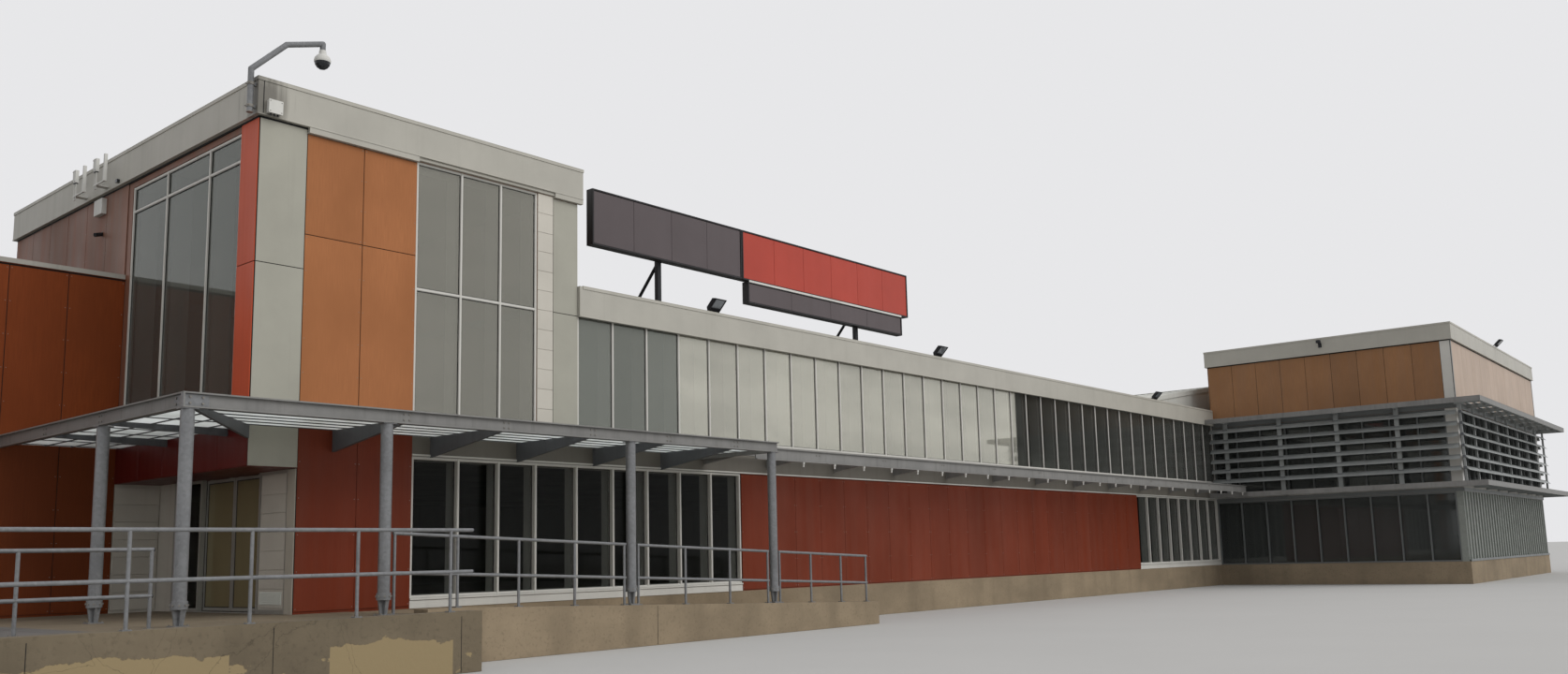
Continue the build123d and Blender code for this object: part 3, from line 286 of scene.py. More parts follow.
def glass_waves(s, dust_and_painted_clouds):
    """The faint unevenness of a pane, and the roughness of the dust on it."""
    s.bump(s.noise(0.35, 1.0), 0.04, 0.02)
    return s.ramp(dust_and_painted_clouds, 0.3, 0.8, 0.015, 0.06)


def glazing(name, tint, alpha, mirror, gloss=0.5):
    """Window glass: part clear, part mirror, with faint dust and a faint painted reflection of clouds.
    """
    s = Shader(name, tint, 0.03, metallic=mirror, gloss=gloss)
    s.put("Alpha", alpha)
    dust_and_painted_clouds = s.noise(2.5, 5.0, (1, 1, 0.4))
    # Mottled by dust and by a painted reflection of clouds
    colour = s.mix(s.ramp(dust_and_painted_clouds, 0.35, 0.7), s.shade(0.94), s.shade(1.05))
    return s.finish(colour, glass_waves(s, dust_and_painted_clouds))


def upper_glazing(name):
    """Upper glass: dark in the tower's side, grey in its front, then pale panes, then dark ones; the
    pale tint is partly the panes' own pale colour and partly painted sky reflection, and the last dark
    tint is a painted reflection of the pavilion.
    """
    s = Shader(name, roughness=0.03, metallic=0.55, gloss=0.4)
    along = s.axis("X")
    painted_reflection_from = 22.75
    s.put("Alpha", s.ramp(along, painted_reflection_from * METRE, (painted_reflection_from + 0.01) * METRE, 0.56, 0.36))
    panes = s.maths("DIVIDE", s.maths("SUBTRACT", along, WING[0] * METRE), MODULE * METRE)
    sockets = {"W": s.maths("FLOOR", panes)}
    pane = s.node("TexWhiteNoise", sockets, noise_dimensions="1D")["Value"]
    colour = linear("#727670")
    # The pale tint is partly painted sky reflection, and the last, dark tint is a painted reflection of
    # the pavilion's louvres and sunshade
    tints = ((1.0, "#a2a095"), (6.0, "#8e9189"), (8.95, "#dad8ca"), (painted_reflection_from, "#2b2c2a"))
    for start, tint in tints:
        colour = s.mix(s.maths("GREATER_THAN", along, start * METRE), colour, linear(tint))
    dust_and_painted_clouds = s.noise(1.1, 5.0, (0.5, 0.5, 1.7))
    colour = s.times(colour, s.ramp(pane, 0.0, 1.0, 0.9, 1.08))
    # Greyed in patches by dust and by a painted reflection of clouds
    colour = s.mix(s.ramp(dust_and_painted_clouds, 0.42, 0.7, 0.0, 0.3), colour, linear("#85867e"))
    return s.finish(colour, glass_waves(s, dust_and_painted_clouds))


def milky_sheet(name):
    """Translucent roof sheet that glows from the sky above it, dusty on top."""
    s = Shader(name, roughness=0.5)
    s.put("Alpha", 0.9)
    dust = s.noise(3.0, 6.0)
    colour = s.mix(s.ramp(dust, 0.35, 0.75), linear("#f1f4f3"), linear("#d8dbd8"))
    s.bump(dust, 0.05, 0.003)
    glow = s.node("BsdfTranslucent", {"Color": colour})["BSDF"]
    both = s.node("MixShader", {0: 0.8, 1: s.surface.outputs["BSDF"], 2: glow})
    feed(s.tree, s.tree.nodes["Material Output"].inputs["Surface"], both["Shader"])
    return s.finish(colour)


def roofing(name, tint):
    """Mineral roofing felt with lap lines and dust."""
    s = Shader(name, tint, 0.92)
    grit = s.noise(90.0, 2.0)
    broad = s.noise(0.5, 6.0)
    bands = {"wave_type": "BANDS", "bands_direction": "Y", "wave_profile": "SAW"}
    laps = s.node("TexWave", {"Vector": s.place, "Scale": 0.32}, **bands)["Fac"]
    colour = s.mix(s.ramp(grit, 0.3, 0.7), s.shade(0.85), s.shade(1.12))
    colour = s.mix(s.ramp(broad, 0.4, 0.7, 0.0, 0.5), colour, s.shade(1.35))
    colour = s.mix(s.ramp(laps, 0.985, 1.0, 0.0, 0.6), colour, s.shade(0.5))
    s.bump(grit, 0.3, 0.002)
    return s.finish(colour)


def paving(name):
    """The landing: beige concrete, and grey asphalt further left, both worn."""
    s = Shader(name, roughness=0.92)
    left = s.ramp(s.axis("X"), -2.72 * METRE, -2.68 * METRE, 1.0, 0.0)
    grit = s.noise(60.0, 3.0)
    worn = s.ramp(s.noise(1.5, 6.0), 0.35, 0.7)
    pale = s.mix(worn, linear("#7f725e"), linear("#6c614f"))
    dark = s.mix(worn, linear("#6f6c69"), linear("#595755"))
    colour = s.mix(left, pale, dark)
    colour = s.mix(s.ramp(grit, 0.35, 0.65, 0.0, 0.25), colour, linear("#4f4a42"))
    s.bump(grit, 0.3, 0.002)
    return s.finish(colour)


# Each row is a material's name and what its maker takes, in the maker's order
PALETTE = {
    veneer: (
        ("wood_orange", "#a36a43", 0.1),
        ("wood_brown", "#783918", 0.14),
        ("wood_weathered", "#84543f", 0.12, 0.75),
        ("wood_red", "#702c15", 0.12, 0.1),
        ("wood_tan", "#956b47", 0.1, 0.25),
    ),
    coated: (
        ("red_strip", "#bd5234", 0.5, 0.12),
        ("red_gloss", "#5a1511", 0.4, 0.15),
        ("grey_panel", "#a19f93", 0.5, 0.12),
        ("post_panel", "#b3ada0", 0.5, 0.15),
        ("white_panel", "#c0bbb0", 0.5, 0.25),
        ("peach_panel", "#b29f8f", 0.55, 0.2),
        ("fascia_coat", "#aeaba1", 0.45, 0.12, "#6b685f", 0.0, (0.0, -0.1, 8.6)),
        ("hall_coat", "#b3afa6", 0.55, 0.3),
        ("window_white", "#c6c4bd", 0.35, 0.15),
        ("window_grey", "#686b6a", 0.4, 0.2),
        ("fin_grey", "#dcdfd7", 0.45, 0.1),
        ("door_grey", "#a3a29b", 0.35, 0.1, "#5c5850", 0.3),
        ("lintel_grey", "#6e6a62", 0.6, 0.4),
        ("coping_grey", "#a5a198", 0.5, 0.4),
        ("roof_pale", "#c9c9c2", 0.5, 0.3),
        # Black for rubber and joints, and for the lines of painted shade under the fascias
        ("rubber_black", "#1d1d1d", 0.7, 0.1),
        ("lamp_black", "#26272a", 0.5, 0.2),
        ("sign_mauve", "#585051", 0.4, 0.12),
        ("sign_red", "#ac4335", 0.4, 0.08),
        ("sign_edge", "#2b2a2b", 0.45, 0.1),
        ("white_plastic", "#cbcac4", 0.45, 0.25),
    ),
    weathered_steel: (
        ("canopy_steel", "#7c7b78", 0.55, 0.45),
        ("rafter_steel", "#55575a", 0.55, 0.4),
        ("louvre_steel", "#858886", 0.45, 0.3),
    ),
    galvanised: (
        ("zinc", "#7f8081", 0.45),
        ("galvanised_dull", "#85817a", 0.3),
        ("rib_zinc", "#828680", 0.3, 0.06),
    ),
    concrete: (
        ("terrace_concrete", "#6f6452", ((-5.3, -1.81), (-0.57, 1.19))),
        ("plinth_concrete", "#8a7b65"),
        ("slab_concrete", "#9c9a94"),
    ),
    glazing: (
        ("glass_lower", "#161714", 0.32, 0.12, 0.2),
        ("glass_pavilion", "#4b4e4c", 0.75, 0.3, 0.3),
        ("glass_door", "#968d6c", 0.82, 0.25, 0.2),
        ("lamp_face", "#8f9499", 1.0, 0.5),
        ("dome_black", "#2a2c2f", 1.0, 0.2),
    ),
    upper_glazing: (("glass_upper",),),
    milky_sheet: (("deck",),),
    roofing: (("felt", "#6a6a67"),),
    paving: (("landing",),),
}
looks = {row[0]: maker(*row) for maker, rows in PALETTE.items() for row in rows}

# The solids that each material covers
COVERS = {
    "plinth_concrete": "foundation shopfront_ramp",
    "terrace_concrete": "entrance_terrace",
    "slab_concrete": "upper_floor pavilion_floor",
    "wood_brown": "low_wing_wall",
    "wood_orange": "tower_front_wall",
    "wood_weathered": "tower_side_wall tower_rear_walls",
    "wood_red": "tower_lower_wall wing_red_wall",
    "wood_tan": "pavilion_upper_walls",
    "hall_coat": "back_wall left_end_wall right_end_wall pavilion_back_wall",
    "white_panel": "recess_wall entrance_panel",
    "red_gloss": "entrance_lintel recess_bulkhead door_track_header",
    "lintel_grey": "shopfront_lintel",
    "felt": "flat_roof high_roofs",
    "roof_pale": "pitched_roof",
    "fascia_coat": "tower_fascia pavilion_fascia wing_fascia",
    "window_white": "tower_window_frames ribbon_frame shopfront_frames pavilion_corner_posts",
    "window_grey": "pavilion_window_frames",
    "fin_grey": "ribbon_fins window_fins",
    "door_grey": "entrance_frame near_door_leaf far_door_leaf",
    "glass_upper": "upper_glass",
    "glass_lower": "ground_floor_glass",
    "glass_pavilion": "pavilion_glass",
    "glass_door": "near_door_glass far_door_glass",
    "canopy_steel": "canopy_beams wing_canopy",
    "rafter_steel": "canopy_rafters",
    "louvre_steel": "upper_sunshade lower_sunshade louvre_screens",
    "deck": "canopy_deck",
    "zinc": "canopy_columns railings camera_mast",
    "rib_zinc": "pavilion_ribbed_wall",
    "sign_edge": "sign_boards",
    "lamp_black": "sign_frame floodlights",
    "white_plastic": "aerials_and_boxes",
}
for look, covered in COVERS.items():
    for node_name in covered.split():
        nodes[node_name].data.materials.clear()
        nodes[node_name].data.materials.append(looks[look])


# Spans and steps
def spread(low, high, count):
    """Evenly spaced values, both ends included."""
    return [low + (high - low) * i / count for i in range(count + 1)]


def pairs(values):
    """Each value with the next one."""
    return list(zip(values, values[1:]))


def around(middle, reach):
    """The span that reaches equally far to both sides of its middle."""
    return (middle - reach, middle + reach)


def inset(span, margin):
    """The span made shorter at both ends, or longer by a margin below zero."""
    return (span[0] + margin, span[1] - margin)


def ends(span, width):
    """A short span at each end of a long one."""
    return ((span[0], span[0] + width), (span[1] - width, span[1]))


# Mesh pieces, all drawn in real metres
def at(x, y, z):
    """A place in the model from real metres."""
    return Vector((x * METRE, y * METRE, floor_z + z * METRE))


def block(bm, x, y, z, tone=0.5):
    """A box given by its low and high value along each axis, with a tone for its colour."""
    layer = bm.verts.layers.float.get("tone") or bm.verts.layers.float.new("tone")
    low, high = at(x[0], y[0], z[0]), at(x[1], y[1], z[1])
    placed = Matrix.Translation((low + high) / 2) @ Matrix.Diagonal((*(high - low), 1.0))
    for vertex in bmesh.ops.create_cube(bm, size=1.0, matrix=placed)["verts"]:
        vertex[layer] = tone


def rod(bm, start, end, radius, segments=12):
    """A round bar between two places."""
    low, high = at(*start), at(*end)
    turn = (high - low).to_track_quat("Z", "Y").to_matrix().to_4x4()
    matrix = Matrix.Translation((low + high) / 2) @ turn
    size = {"radius1": radius * METRE, "radius2": radius * METRE, "depth": (high - low).length}
    bmesh.ops.create_cone(bm, cap_ends=True, segments=segments, matrix=matrix, **size)


def foot_bolts(bm, x, y, reach, z, radius):
    """Four upright bolts round a foot."""
    for side_x in around(x, reach):
        for side_y in around(y, reach):
            rod(bm, (side_x, side_y, z[0]), (side_x, side_y, z[1]), radius, 6)


def prism(bm, outline, start, run):
    """A solid drawn as an outline of places and carried along a run."""
    first = [bm.verts.new(at(*(Vector(p) + Vector(start)))) for p in outline]
    last = [bm.verts.new(at(*(Vector(p) + Vector(start) + Vector(run)))) for p in outline]
    count = len(outline)
    bm.faces.new(first[::-1])
    bm.faces.new(last)
    for i in range(count):
        bm.faces.new((first[i], first[(i + 1) % count], last[(i + 1) % count], last[i]))
    bmesh.ops.recalc_face_normals(bm, faces=bm.faces[:])


def lathe(bm, centre, profile, segments=24):
    """A solid turned about an upright axis, from pairs of radius and height."""
    rings = []
    for radius, height in profile:
        turns = [2 * math.pi * i / segments for i in range(segments)]
        places = [(radius * math.cos(a), radius * math.sin(a), height) for a in turns]
        rings.append([bm.verts.new(at(*(Vector(centre) + Vector(p)))) for p in places])
    faces = [bm.faces.new(rings[0][::-1]), bm.faces.new(rings[-1])]
    for low, high in pairs(rings):
        for i in range(segments):
            j = (i + 1) % segments
            faces.append(bm.faces.new((low[i], low[j], high[j], high[i])))
    bmesh.ops.recalc_face_normals(bm, faces=faces)


def mesh_of(name, bm):
    """The finished mesh of a drawing."""
    mesh = bpy.data.meshes.new(name)
    bm.to_mesh(mesh)
    bm.free()
    return mesh


def in_scene(name, data):
    """A new object in the scene."""
    made = bpy.data.objects.new(name, data)
    scene.collection.objects.link(made)
    return made


def piece(name, look, bm, bevel=0.0, body=BODY):
    """A finished mesh piece that rides on a body."""
    made = in_scene(name, mesh_of(name, bm))
    made.data.materials.append(looks[look])
    if bevel:
        edge = made.modifiers.new("edges", "BEVEL")
        edge.width = bevel
        edge.segments = 1
        edge.limit_method = "ANGLE"
    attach(made, body)
    return made


class Face:
    """A wall face that runs along X or Y; pieces are placed along it, out of it and up it."""

    def __init__(self, runs, place, outward):
        self.runs, self.place, self.outward = runs, place, outward

    def box(self, bm, along, depth, z, tone=0.5):
        """A box whose depth is a span out of the face, or how far it stands out."""
        depth = depth if isinstance(depth, tuple) else (0.0, depth)
        out = sorted(self.place + self.outward * d for d in depth)
        x, y = (along, out) if self.runs == "x" else (out, along)
        block(bm, x, y, z, tone)

    def frame(self, bm, along, depth, z, width):
        """Four bars round an opening, the upright ones at its full height."""
        for side in ends(along, width):
            self.box(bm, side, depth, z)
        for level in ends(z, width):
            self.box(bm, inset(along, width), depth, level)

    def boards(self, bm, along, depth, z, count, gap):
        """Boards above one another, each in its own tone."""
        for level in pairs(spread(*z, count)):
            self.box(bm, along, depth, inset(level, gap), random.random())

    def bolt(self, bm, along, z, radius=0.014, height=0.012, segments=6, out=0.0):
        low, high = (self.place + self.outward * d for d in (out, out + height))
        if self.runs == "x":
            rod(bm, (along, low, z), (along, high, z), radius, segments)
        else:
            rod(bm, (low, along, z), (high, along, z), radius, segments)


front = Face("x", 0.0, -1)
fascia_front = Face("x", -OVERHANG, -1)
tower_side = Face("y", 0.0, -1)
tower_right = Face("y", TOWER[0], 1)
tower_back = Face("x", TOWER[1], 1)
low_front = Face("x", LOW_WING_Y, -1)
recess_side = Face("y", RECESS, -1)
hall_back = Face("x", BACK_Y, 1)
hall_left = Face("y", LEFT_X, -1)
hall_right = Face("y", RIGHT_X, 1)
pavilion_front = Face("x", PAVILION_Y, -1)
pavilion_left = Face("y", WING[1], -1)
pavilion_back = Face("x", 0.0, 1)

# Drawings that several functions add to
joint_strips, rivets = bmesh.new(), bmesh.new()
white_caps, grey_caps, gaskets = bmesh.new(), bmesh.new(), bmesh.new()


def cladding(name, look, slot, face, along, levels, rivet_step=0.0, gap=GAP):
    """A wall face covered with panels on dark strips, with open joints between them."""
    bm = bmesh.new()
    for column in pairs(along):
        for row in pairs(levels):
            u, z = inset(column, gap / 2), inset(row, gap / 2)
            face.box(bm, u, (TAPE, TAPE + SHEET), z, random.random())
            if rivet_step:
                count = max(1, round((z[1] - z[0]) / rivet_step))
                for height in spread(*inset(z, 0.04), count):
                    for side in inset(u, 0.03):
                        face.bolt(rivets, side, height, 0.007, 0.003, 8, TAPE + SHEET)
    strip = 0.03
    wide, tall = (along[0], along[-1]), (levels[0], levels[-1])
    for u in along:
        face.box(joint_strips, (max(u - strip, wide[0]), min(u + strip, wide[1])), TAPE, tall)
    for z in levels:
        face.box(joint_strips, wide, TAPE * 0.8, (max(z - strip, tall[0]), min(z + strip, tall[1])))
    piece(name, look, bm, 0.0012)


def window(face, along, z, uprights, levels, caps, sheet=None):
    """Caps on the bars at given places or of so many even panes, black gaskets that are also painted
    shade lines beside the bars, and glass behind the caps.
    """
    bar, cap_back, glass, edge = 0.05, -0.02, -0.1, 0.01
    if isinstance(uprights, int):
        uprights = spread(*along, uprights)[1:-1]
    if sheet is not None:
        glass = cap_back - 0.016
        face.box(sheet, inset(along, 0.01), (glass - 0.006, glass), inset(z, 0.01))
    columns = [along[0] + bar / 2, *uprights, along[1] - bar / 2]
    rows = [z[0] + bar / 2, *levels, z[1] - bar / 2]
    for u in columns:
        face.box(caps, around(u, 0.018), (cap_back, cap_back + 0.014), inset(z, 0.004))
    for height in rows:
        face.box(caps, inset(along, 0.004), (cap_back, cap_back + 0.01), around(height, 0.017))
    # Black gaskets round each pane, which also paint the shade line beside each bar
    for column in pairs(columns):
        for row in pairs(rows):
            pane = inset(column, bar / 2), (glass, glass + 0.008), inset(row, bar / 2)
            face.frame(gaskets, *pane, edge)


def camera():
    """The camera at the photograph's place, from the solved heading, pitch and roll."""
    heading, pitch, roll = (math.radians(a) for a in (49.727, 7.861, -1.359))
    level = math.cos(pitch)
    forward = Vector((math.sin(heading) * level, math.cos(heading) * level, math.sin(pitch)))
    right = Vector((math.cos(heading), -math.sin(heading), 0.0))
    up = right.cross(forward)
    tilted_right = math.cos(roll) * right + math.sin(roll) * up
    tilted_up = -math.sin(roll) * right + math.cos(roll) * up
    matrix = Matrix((tilted_right, tilted_up, -forward)).transposed().to_4x4()
    matrix.translation = at(-8.45, -17.55, 0.691)
    # The photograph is 1674 by 720 pixels; its focal length and horizon are solved in pixels
    width, height, focal, centre_v = 1674.0, 720.0, 1293.3, 416.2
    data = bpy.data.cameras.new("photo_camera")
    data.sensor_width = 36.0
    data.lens = data.sensor_width * focal / width
    data.shift_y = (centre_v - height / 2) / width
    data.clip_start = 0.05
    data.clip_end = 500.0
    made = in_scene("photo_camera", data)
    made.matrix_world = matrix
    scene.camera = made


def studio():
    """A pale floor, a world that is brighter to the camera than on the object, and a soft sun."""
    bm = bmesh.new()
    bmesh.ops.create_grid(bm, x_segments=1, y_segments=1, size=300.0)
    floor = in_scene("studio_floor", mesh_of("studio_floor", bm))
    floor.location = (12.0, 0.0, -0.002)
    s = Shader("studio_floor", roughness=0.95)
    floor.data.materials.append(s.finish(s.mix(s.noise(0.8), linear("#b3b2af"), linear("#b9b8b5"))))
    world = bpy.data.worlds.new("studio")
    world.use_nodes = True
    tree = world.node_tree
    dim = tree.nodes["Background"]
    feed(tree, dim.inputs["Color"], (0.8, 0.8, 0.82))
    feed(tree, dim.inputs["Strength"], 0.8)
    pale = add_node(tree, "Background", {"Color": (0.8, 0.8, 0.815)})
    rays = add_node(tree, "LightPath")
    seen = rays["Is Camera Ray"]
    for ray in ("Is Glossy Ray", "Is Transmission Ray"):
        seen = add_node(tree, "Math", {0: seen, 1: rays[ray]}, operation="MAXIMUM")["Value"]
    sockets = {0: seen, 1: dim.outputs["Background"], 2: pale["Background"]}
    chosen = add_node(tree, "MixShader", sockets)["Shader"]
    feed(tree, tree.nodes["World Output"].inputs["Surface"], chosen)
    scene.world = world
    sun = bpy.data.lights.new("soft_sun", "SUN")
    sun.energy = 1.75
    sun.angle = math.radians(50)
    lamp = in_scene("soft_sun", sun)
    lamp.visible_glossy = False
    lamp.rotation_euler = Vector((14, -45, 36)).to_track_quat("Z", "Y").to_euler()


def tower_panels():
    """Wood, grey, red and white panels on the tower's faces."""
    joint_z, head_z, top = 5.3, 7.485, FASCIA_Z[0]
    corner = [UPPER_Z, joint_z, top]
    cladding("tower_corner_panels", "grey_panel", "grey_panel", front, [0.0, RECESS], corner)
    orange = spread(RECESS, TOWER_GLASS[0], 2), [UPPER_Z, 5.86, head_z]
    cladding("tower_front_panels", "wood_orange", "orange_wood", front, *orange, RIVET_STEP)
    bm = bmesh.new()
    strip_z = (UPPER_Z, 7.51)
    front.box(bm, WHITE_STRIP, TAPE, strip_z)
    front.boards(bm, (5.302, 5.655), (TAPE, TAPE + SHEET), strip_z, 12, 0.003)
    piece("tower_white_strip", "white_panel", bm, 0.0015)
    end = [WHITE_STRIP[1], TOWER[0]], [UPPER_Z, joint_z, head_z]
    cladding("tower_end_panel", "grey_panel", "grey_panel", front, *end)
    cladding("tower_red_strip", "red_strip", "red_panel", tower_side, [0.0, TOWER_SIDE_GLASS[0]], corner)
    for side, face, along in (
        ("side", tower_side, spread(LOW_WING_Y, TOWER[1], 6)),
        ("right", tower_right, spread(0.16, TOWER[1], 11)),
        ("back", tower_back, spread(0.0, TOWER[0], 7)),
    ):
        name = "tower_%s_panels" % side
        cladding(name, "wood_weathered", "orange_wood", face, along, [WING_TOP, top], RIVET_STEP)
    bm = bmesh.new()
    head = TOWER_GLASS_Z[1]
    front.box(bm, (TOWER_GLASS[0], WHITE_STRIP[1]), 0.05, (head, top))
    front.box(bm, TOWER_GLASS, (0.05, 0.062), (head, head + 0.015))
    piece("tower_window_flashing", "fascia_coat", bm, 0.002)


def lower_panels():
    """Panels of the low wing, the entrance recess and the red wall."""
    tight = 0.006
    low = spread(LEFT_X, 0.0, 6), [0.04, SLAB_Z, WING_TOP - 0.1]
    cladding("low_wing_panels", "wood_brown", "dark_wood", low_front, *low, RIVET_STEP)
    lower = spread(RECESS, TOWER_GLASS[0], 2), [0.04, SLAB_Z]
    cladding("tower_lower_panels", "wood_red", "orange_wood", front, *lower, RIVET_STEP, tight)
    red = spread(SHOP[1], REAR_SHOP[0], 22), [0.02, 2.46]
    cladding("wing_red_panels", "wood_red", "red_panel", front, *red, RIVET_STEP, tight)
    corner = [0.0, 0.25], [0.0, 2.2]
    cladding("entrance_corner_panel", "post_panel", "grey_panel", recess_side, *corner)
    boards = bmesh.new()
    low_front.boards(boards, inset((0.0, RECESS), 0.02), 0.02, (0.05, 2.15), 7, 0.004)
    piece("recess_boards", "white_panel", boards, 0.0015)
    bulkhead_z = (2.21, SLAB_Z - 0.01)
    bm = bmesh.new()
    for y in pairs(spread(0.0, LOW_WING_Y, 5)):
        tower_side.box(bm, inset(y, 0.005), 0.012, bulkhead_z, random.random())
    piece("bulkhead_panels", "red_gloss", bm, 0.0015)
    bm = bmesh.new()
    x = (0.0, RECESS - 0.004)
    front.box(bm, x, 0.012, bulkhead_z)
    front.box(bm, x, (0.012, 0.018), (bulkhead_z[0], 2.235))
    piece("bulkhead_front_panel", "grey_panel", bm, 0.0015)


def hall_panels():
    """Ribs of the pale profiled sheets on the back and the ends of the hall."""
    bm = bmesh.new()
    for face, low, high, count in (
        (hall_back, LEFT_X, RIGHT_X, 194),
        (hall_left, LOW_WING_Y, BACK_Y, 58),
        (hall_right, 0.0, BACK_Y, 74),
    ):
        for along in spread(*inset((low, high), 0.15), count):
            face.box(bm, around(along, 0.05), 0.035, (0.03, WING_TOP - 0.09), random.random())
    piece("hall_sheet_ribs", "hall_coat", bm, 0.003)


def coping(bm, x, y, z, lip=0.05, proud=0.012):
    """A folded metal cap over a wall top, with lips on every side."""
    over_x, over_y = inset(x, -proud), inset(y, -proud)
    down = (z - lip, z)
    block(bm, over_x, over_y, (z, z + 0.012))
    block(bm, over_x, (over_y[0], y[0]), down)
    block(bm, over_x, (y[1], over_y[1]), down)
    block(bm, (over_x[0], x[0]), y, down)
    block(bm, (x[1], over_x[1]), y, down)


def fascia_details():
    """Folded edges and drip lines on the fascias, caps on the low walls, and black lines of painted
    shade below them.
    """
    bm = bmesh.new()
    bottom, top = FASCIA_Z
    width, drip = 0.15, 0.008
    for x, y in (((0.0, TOWER[0]), (0.0, TOWER[1])), ((WING[1], RIGHT_X), (PAVILION_Y, 0.0))):
        x, y = inset(x, -OVERHANG), inset(y, -OVERHANG)
        for edge in ends(y, width):
            coping(bm, x, edge, top)
        for edge in ends(x, width):
            coping(bm, edge, inset(y, width + 0.015), top)
        for runs, along, across in (("x", x, y), ("y", y, x)):
            for place, outward in zip(across, (-1, 1)):
                Face(runs, place, outward).box(bm, along, drip, (bottom, bottom + 0.025))
    coping(bm, inset(WING, 0.085), (-OVERHANG, width), WING_TOP)
    fascia_front.box(bm, (WING[0] + 0.02, WING[1] - 0.1), drip, (5.29, 5.315))
    piece("fascia_edges", "fascia_coat", bm, 0.001)
    caps = bmesh.new()
    lap = 0.03
    for x, y in (
        ((LEFT_X, -0.02), (LOW_WING_Y - lap, LOW_WING_Y + WALL)),
        ((LEFT_X - lap, LEFT_X + WALL), (LOW_WING_Y + 0.27, BACK_Y - 0.02)),
        ((LEFT_X, RIGHT_X), (BACK_Y - WALL, BACK_Y + lap)),
        ((RIGHT_X - WALL, RIGHT_X + lap), (0.12, BACK_Y - 0.27)),
    ):
        coping(caps, x, y, WING_TOP, 0.07)
    piece("wall_copings", "coping_grey", caps, 0.001)
    # A joint line on the tower's fascia, and black strips of painted shade under the fascias and under
    # the low wing's coping
    lines = bmesh.new()
    fascia_front.box(lines, (0.003, 0.017), 0.002, (bottom, top - 0.05))
    for face, length in zip((front, tower_side), TOWER):
        face.box(lines, (0.0, length), 0.02, (bottom - 0.03, bottom))
    low_front.box(lines, (LEFT_X, 0.0), 0.016, (WING_TOP - 0.1, WING_TOP - 0.085))
    piece("fascia_joint_and_painted_shade_lines", "rubber_black", lines)


def window_details():
    """Caps, and gaskets that are also painted shade lines, on every window, glass just behind the upper
    caps, and the shop's sills.
    """
    sheet = bmesh.new()
    tower_x = [3.66, 4.49]
    window(front, TOWER_GLASS, TOWER_GLASS_Z, tower_x, [5.3], white_caps, sheet)
    window(tower_side, TOWER_SIDE_GLASS, (UPPER_Z, 7.45), [1.66, 3.24], [7.0], white_caps, sheet)
    window(front, WING, (UPPER_Z, 5.45), 35, [], white_caps, sheet)
    glass = piece("upper_panes", "glass_upper", sheet)
    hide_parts("upper_glass")
    shop_x = tower_x + [TOWER_GLASS[1]] + spread(WING[0], SHOP[1], 5)[:-1]
    window(front, SHOP, SHOP_Z, shop_x, [], white_caps)
    window(front, REAR_SHOP, SHOP_Z, 8, [], white_caps)
    upper_z, lower_z = (2.6, 5.2), (0.0, 2.35)
    for face in (pavilion_left, hall_right):
        for y, z in (((PAVILION_Y + 0.35, 0.0), upper_z), ((PAVILION_Y + 0.25, 0.0), lower_z)):
            window(face, y, z, 9, [], grey_caps)
    window(pavilion_front, inset((WING[1], RIGHT_X), 0.25), upper_z, 17, [], grey_caps)
    piece("window_caps", "window_white", white_caps, 0.0012)
    piece("pavilion_window_caps", "window_grey", grey_caps, 0.0012)
    piece("window_gaskets_and_painted_shade", "rubber_black", gaskets)
    bm = bmesh.new()
    for x in (SHOP, REAR_SHOP):
        front.box(bm, x, 0.03, (0.135, 0.165))
        front.box(bm, x, 0.012, (0.0, 0.125))
    front.box(bm, (SHOP[0], WING[1]), 0.02, (2.485, 2.515))
    piece("shop_sills", "window_white", bm, 0.0015)


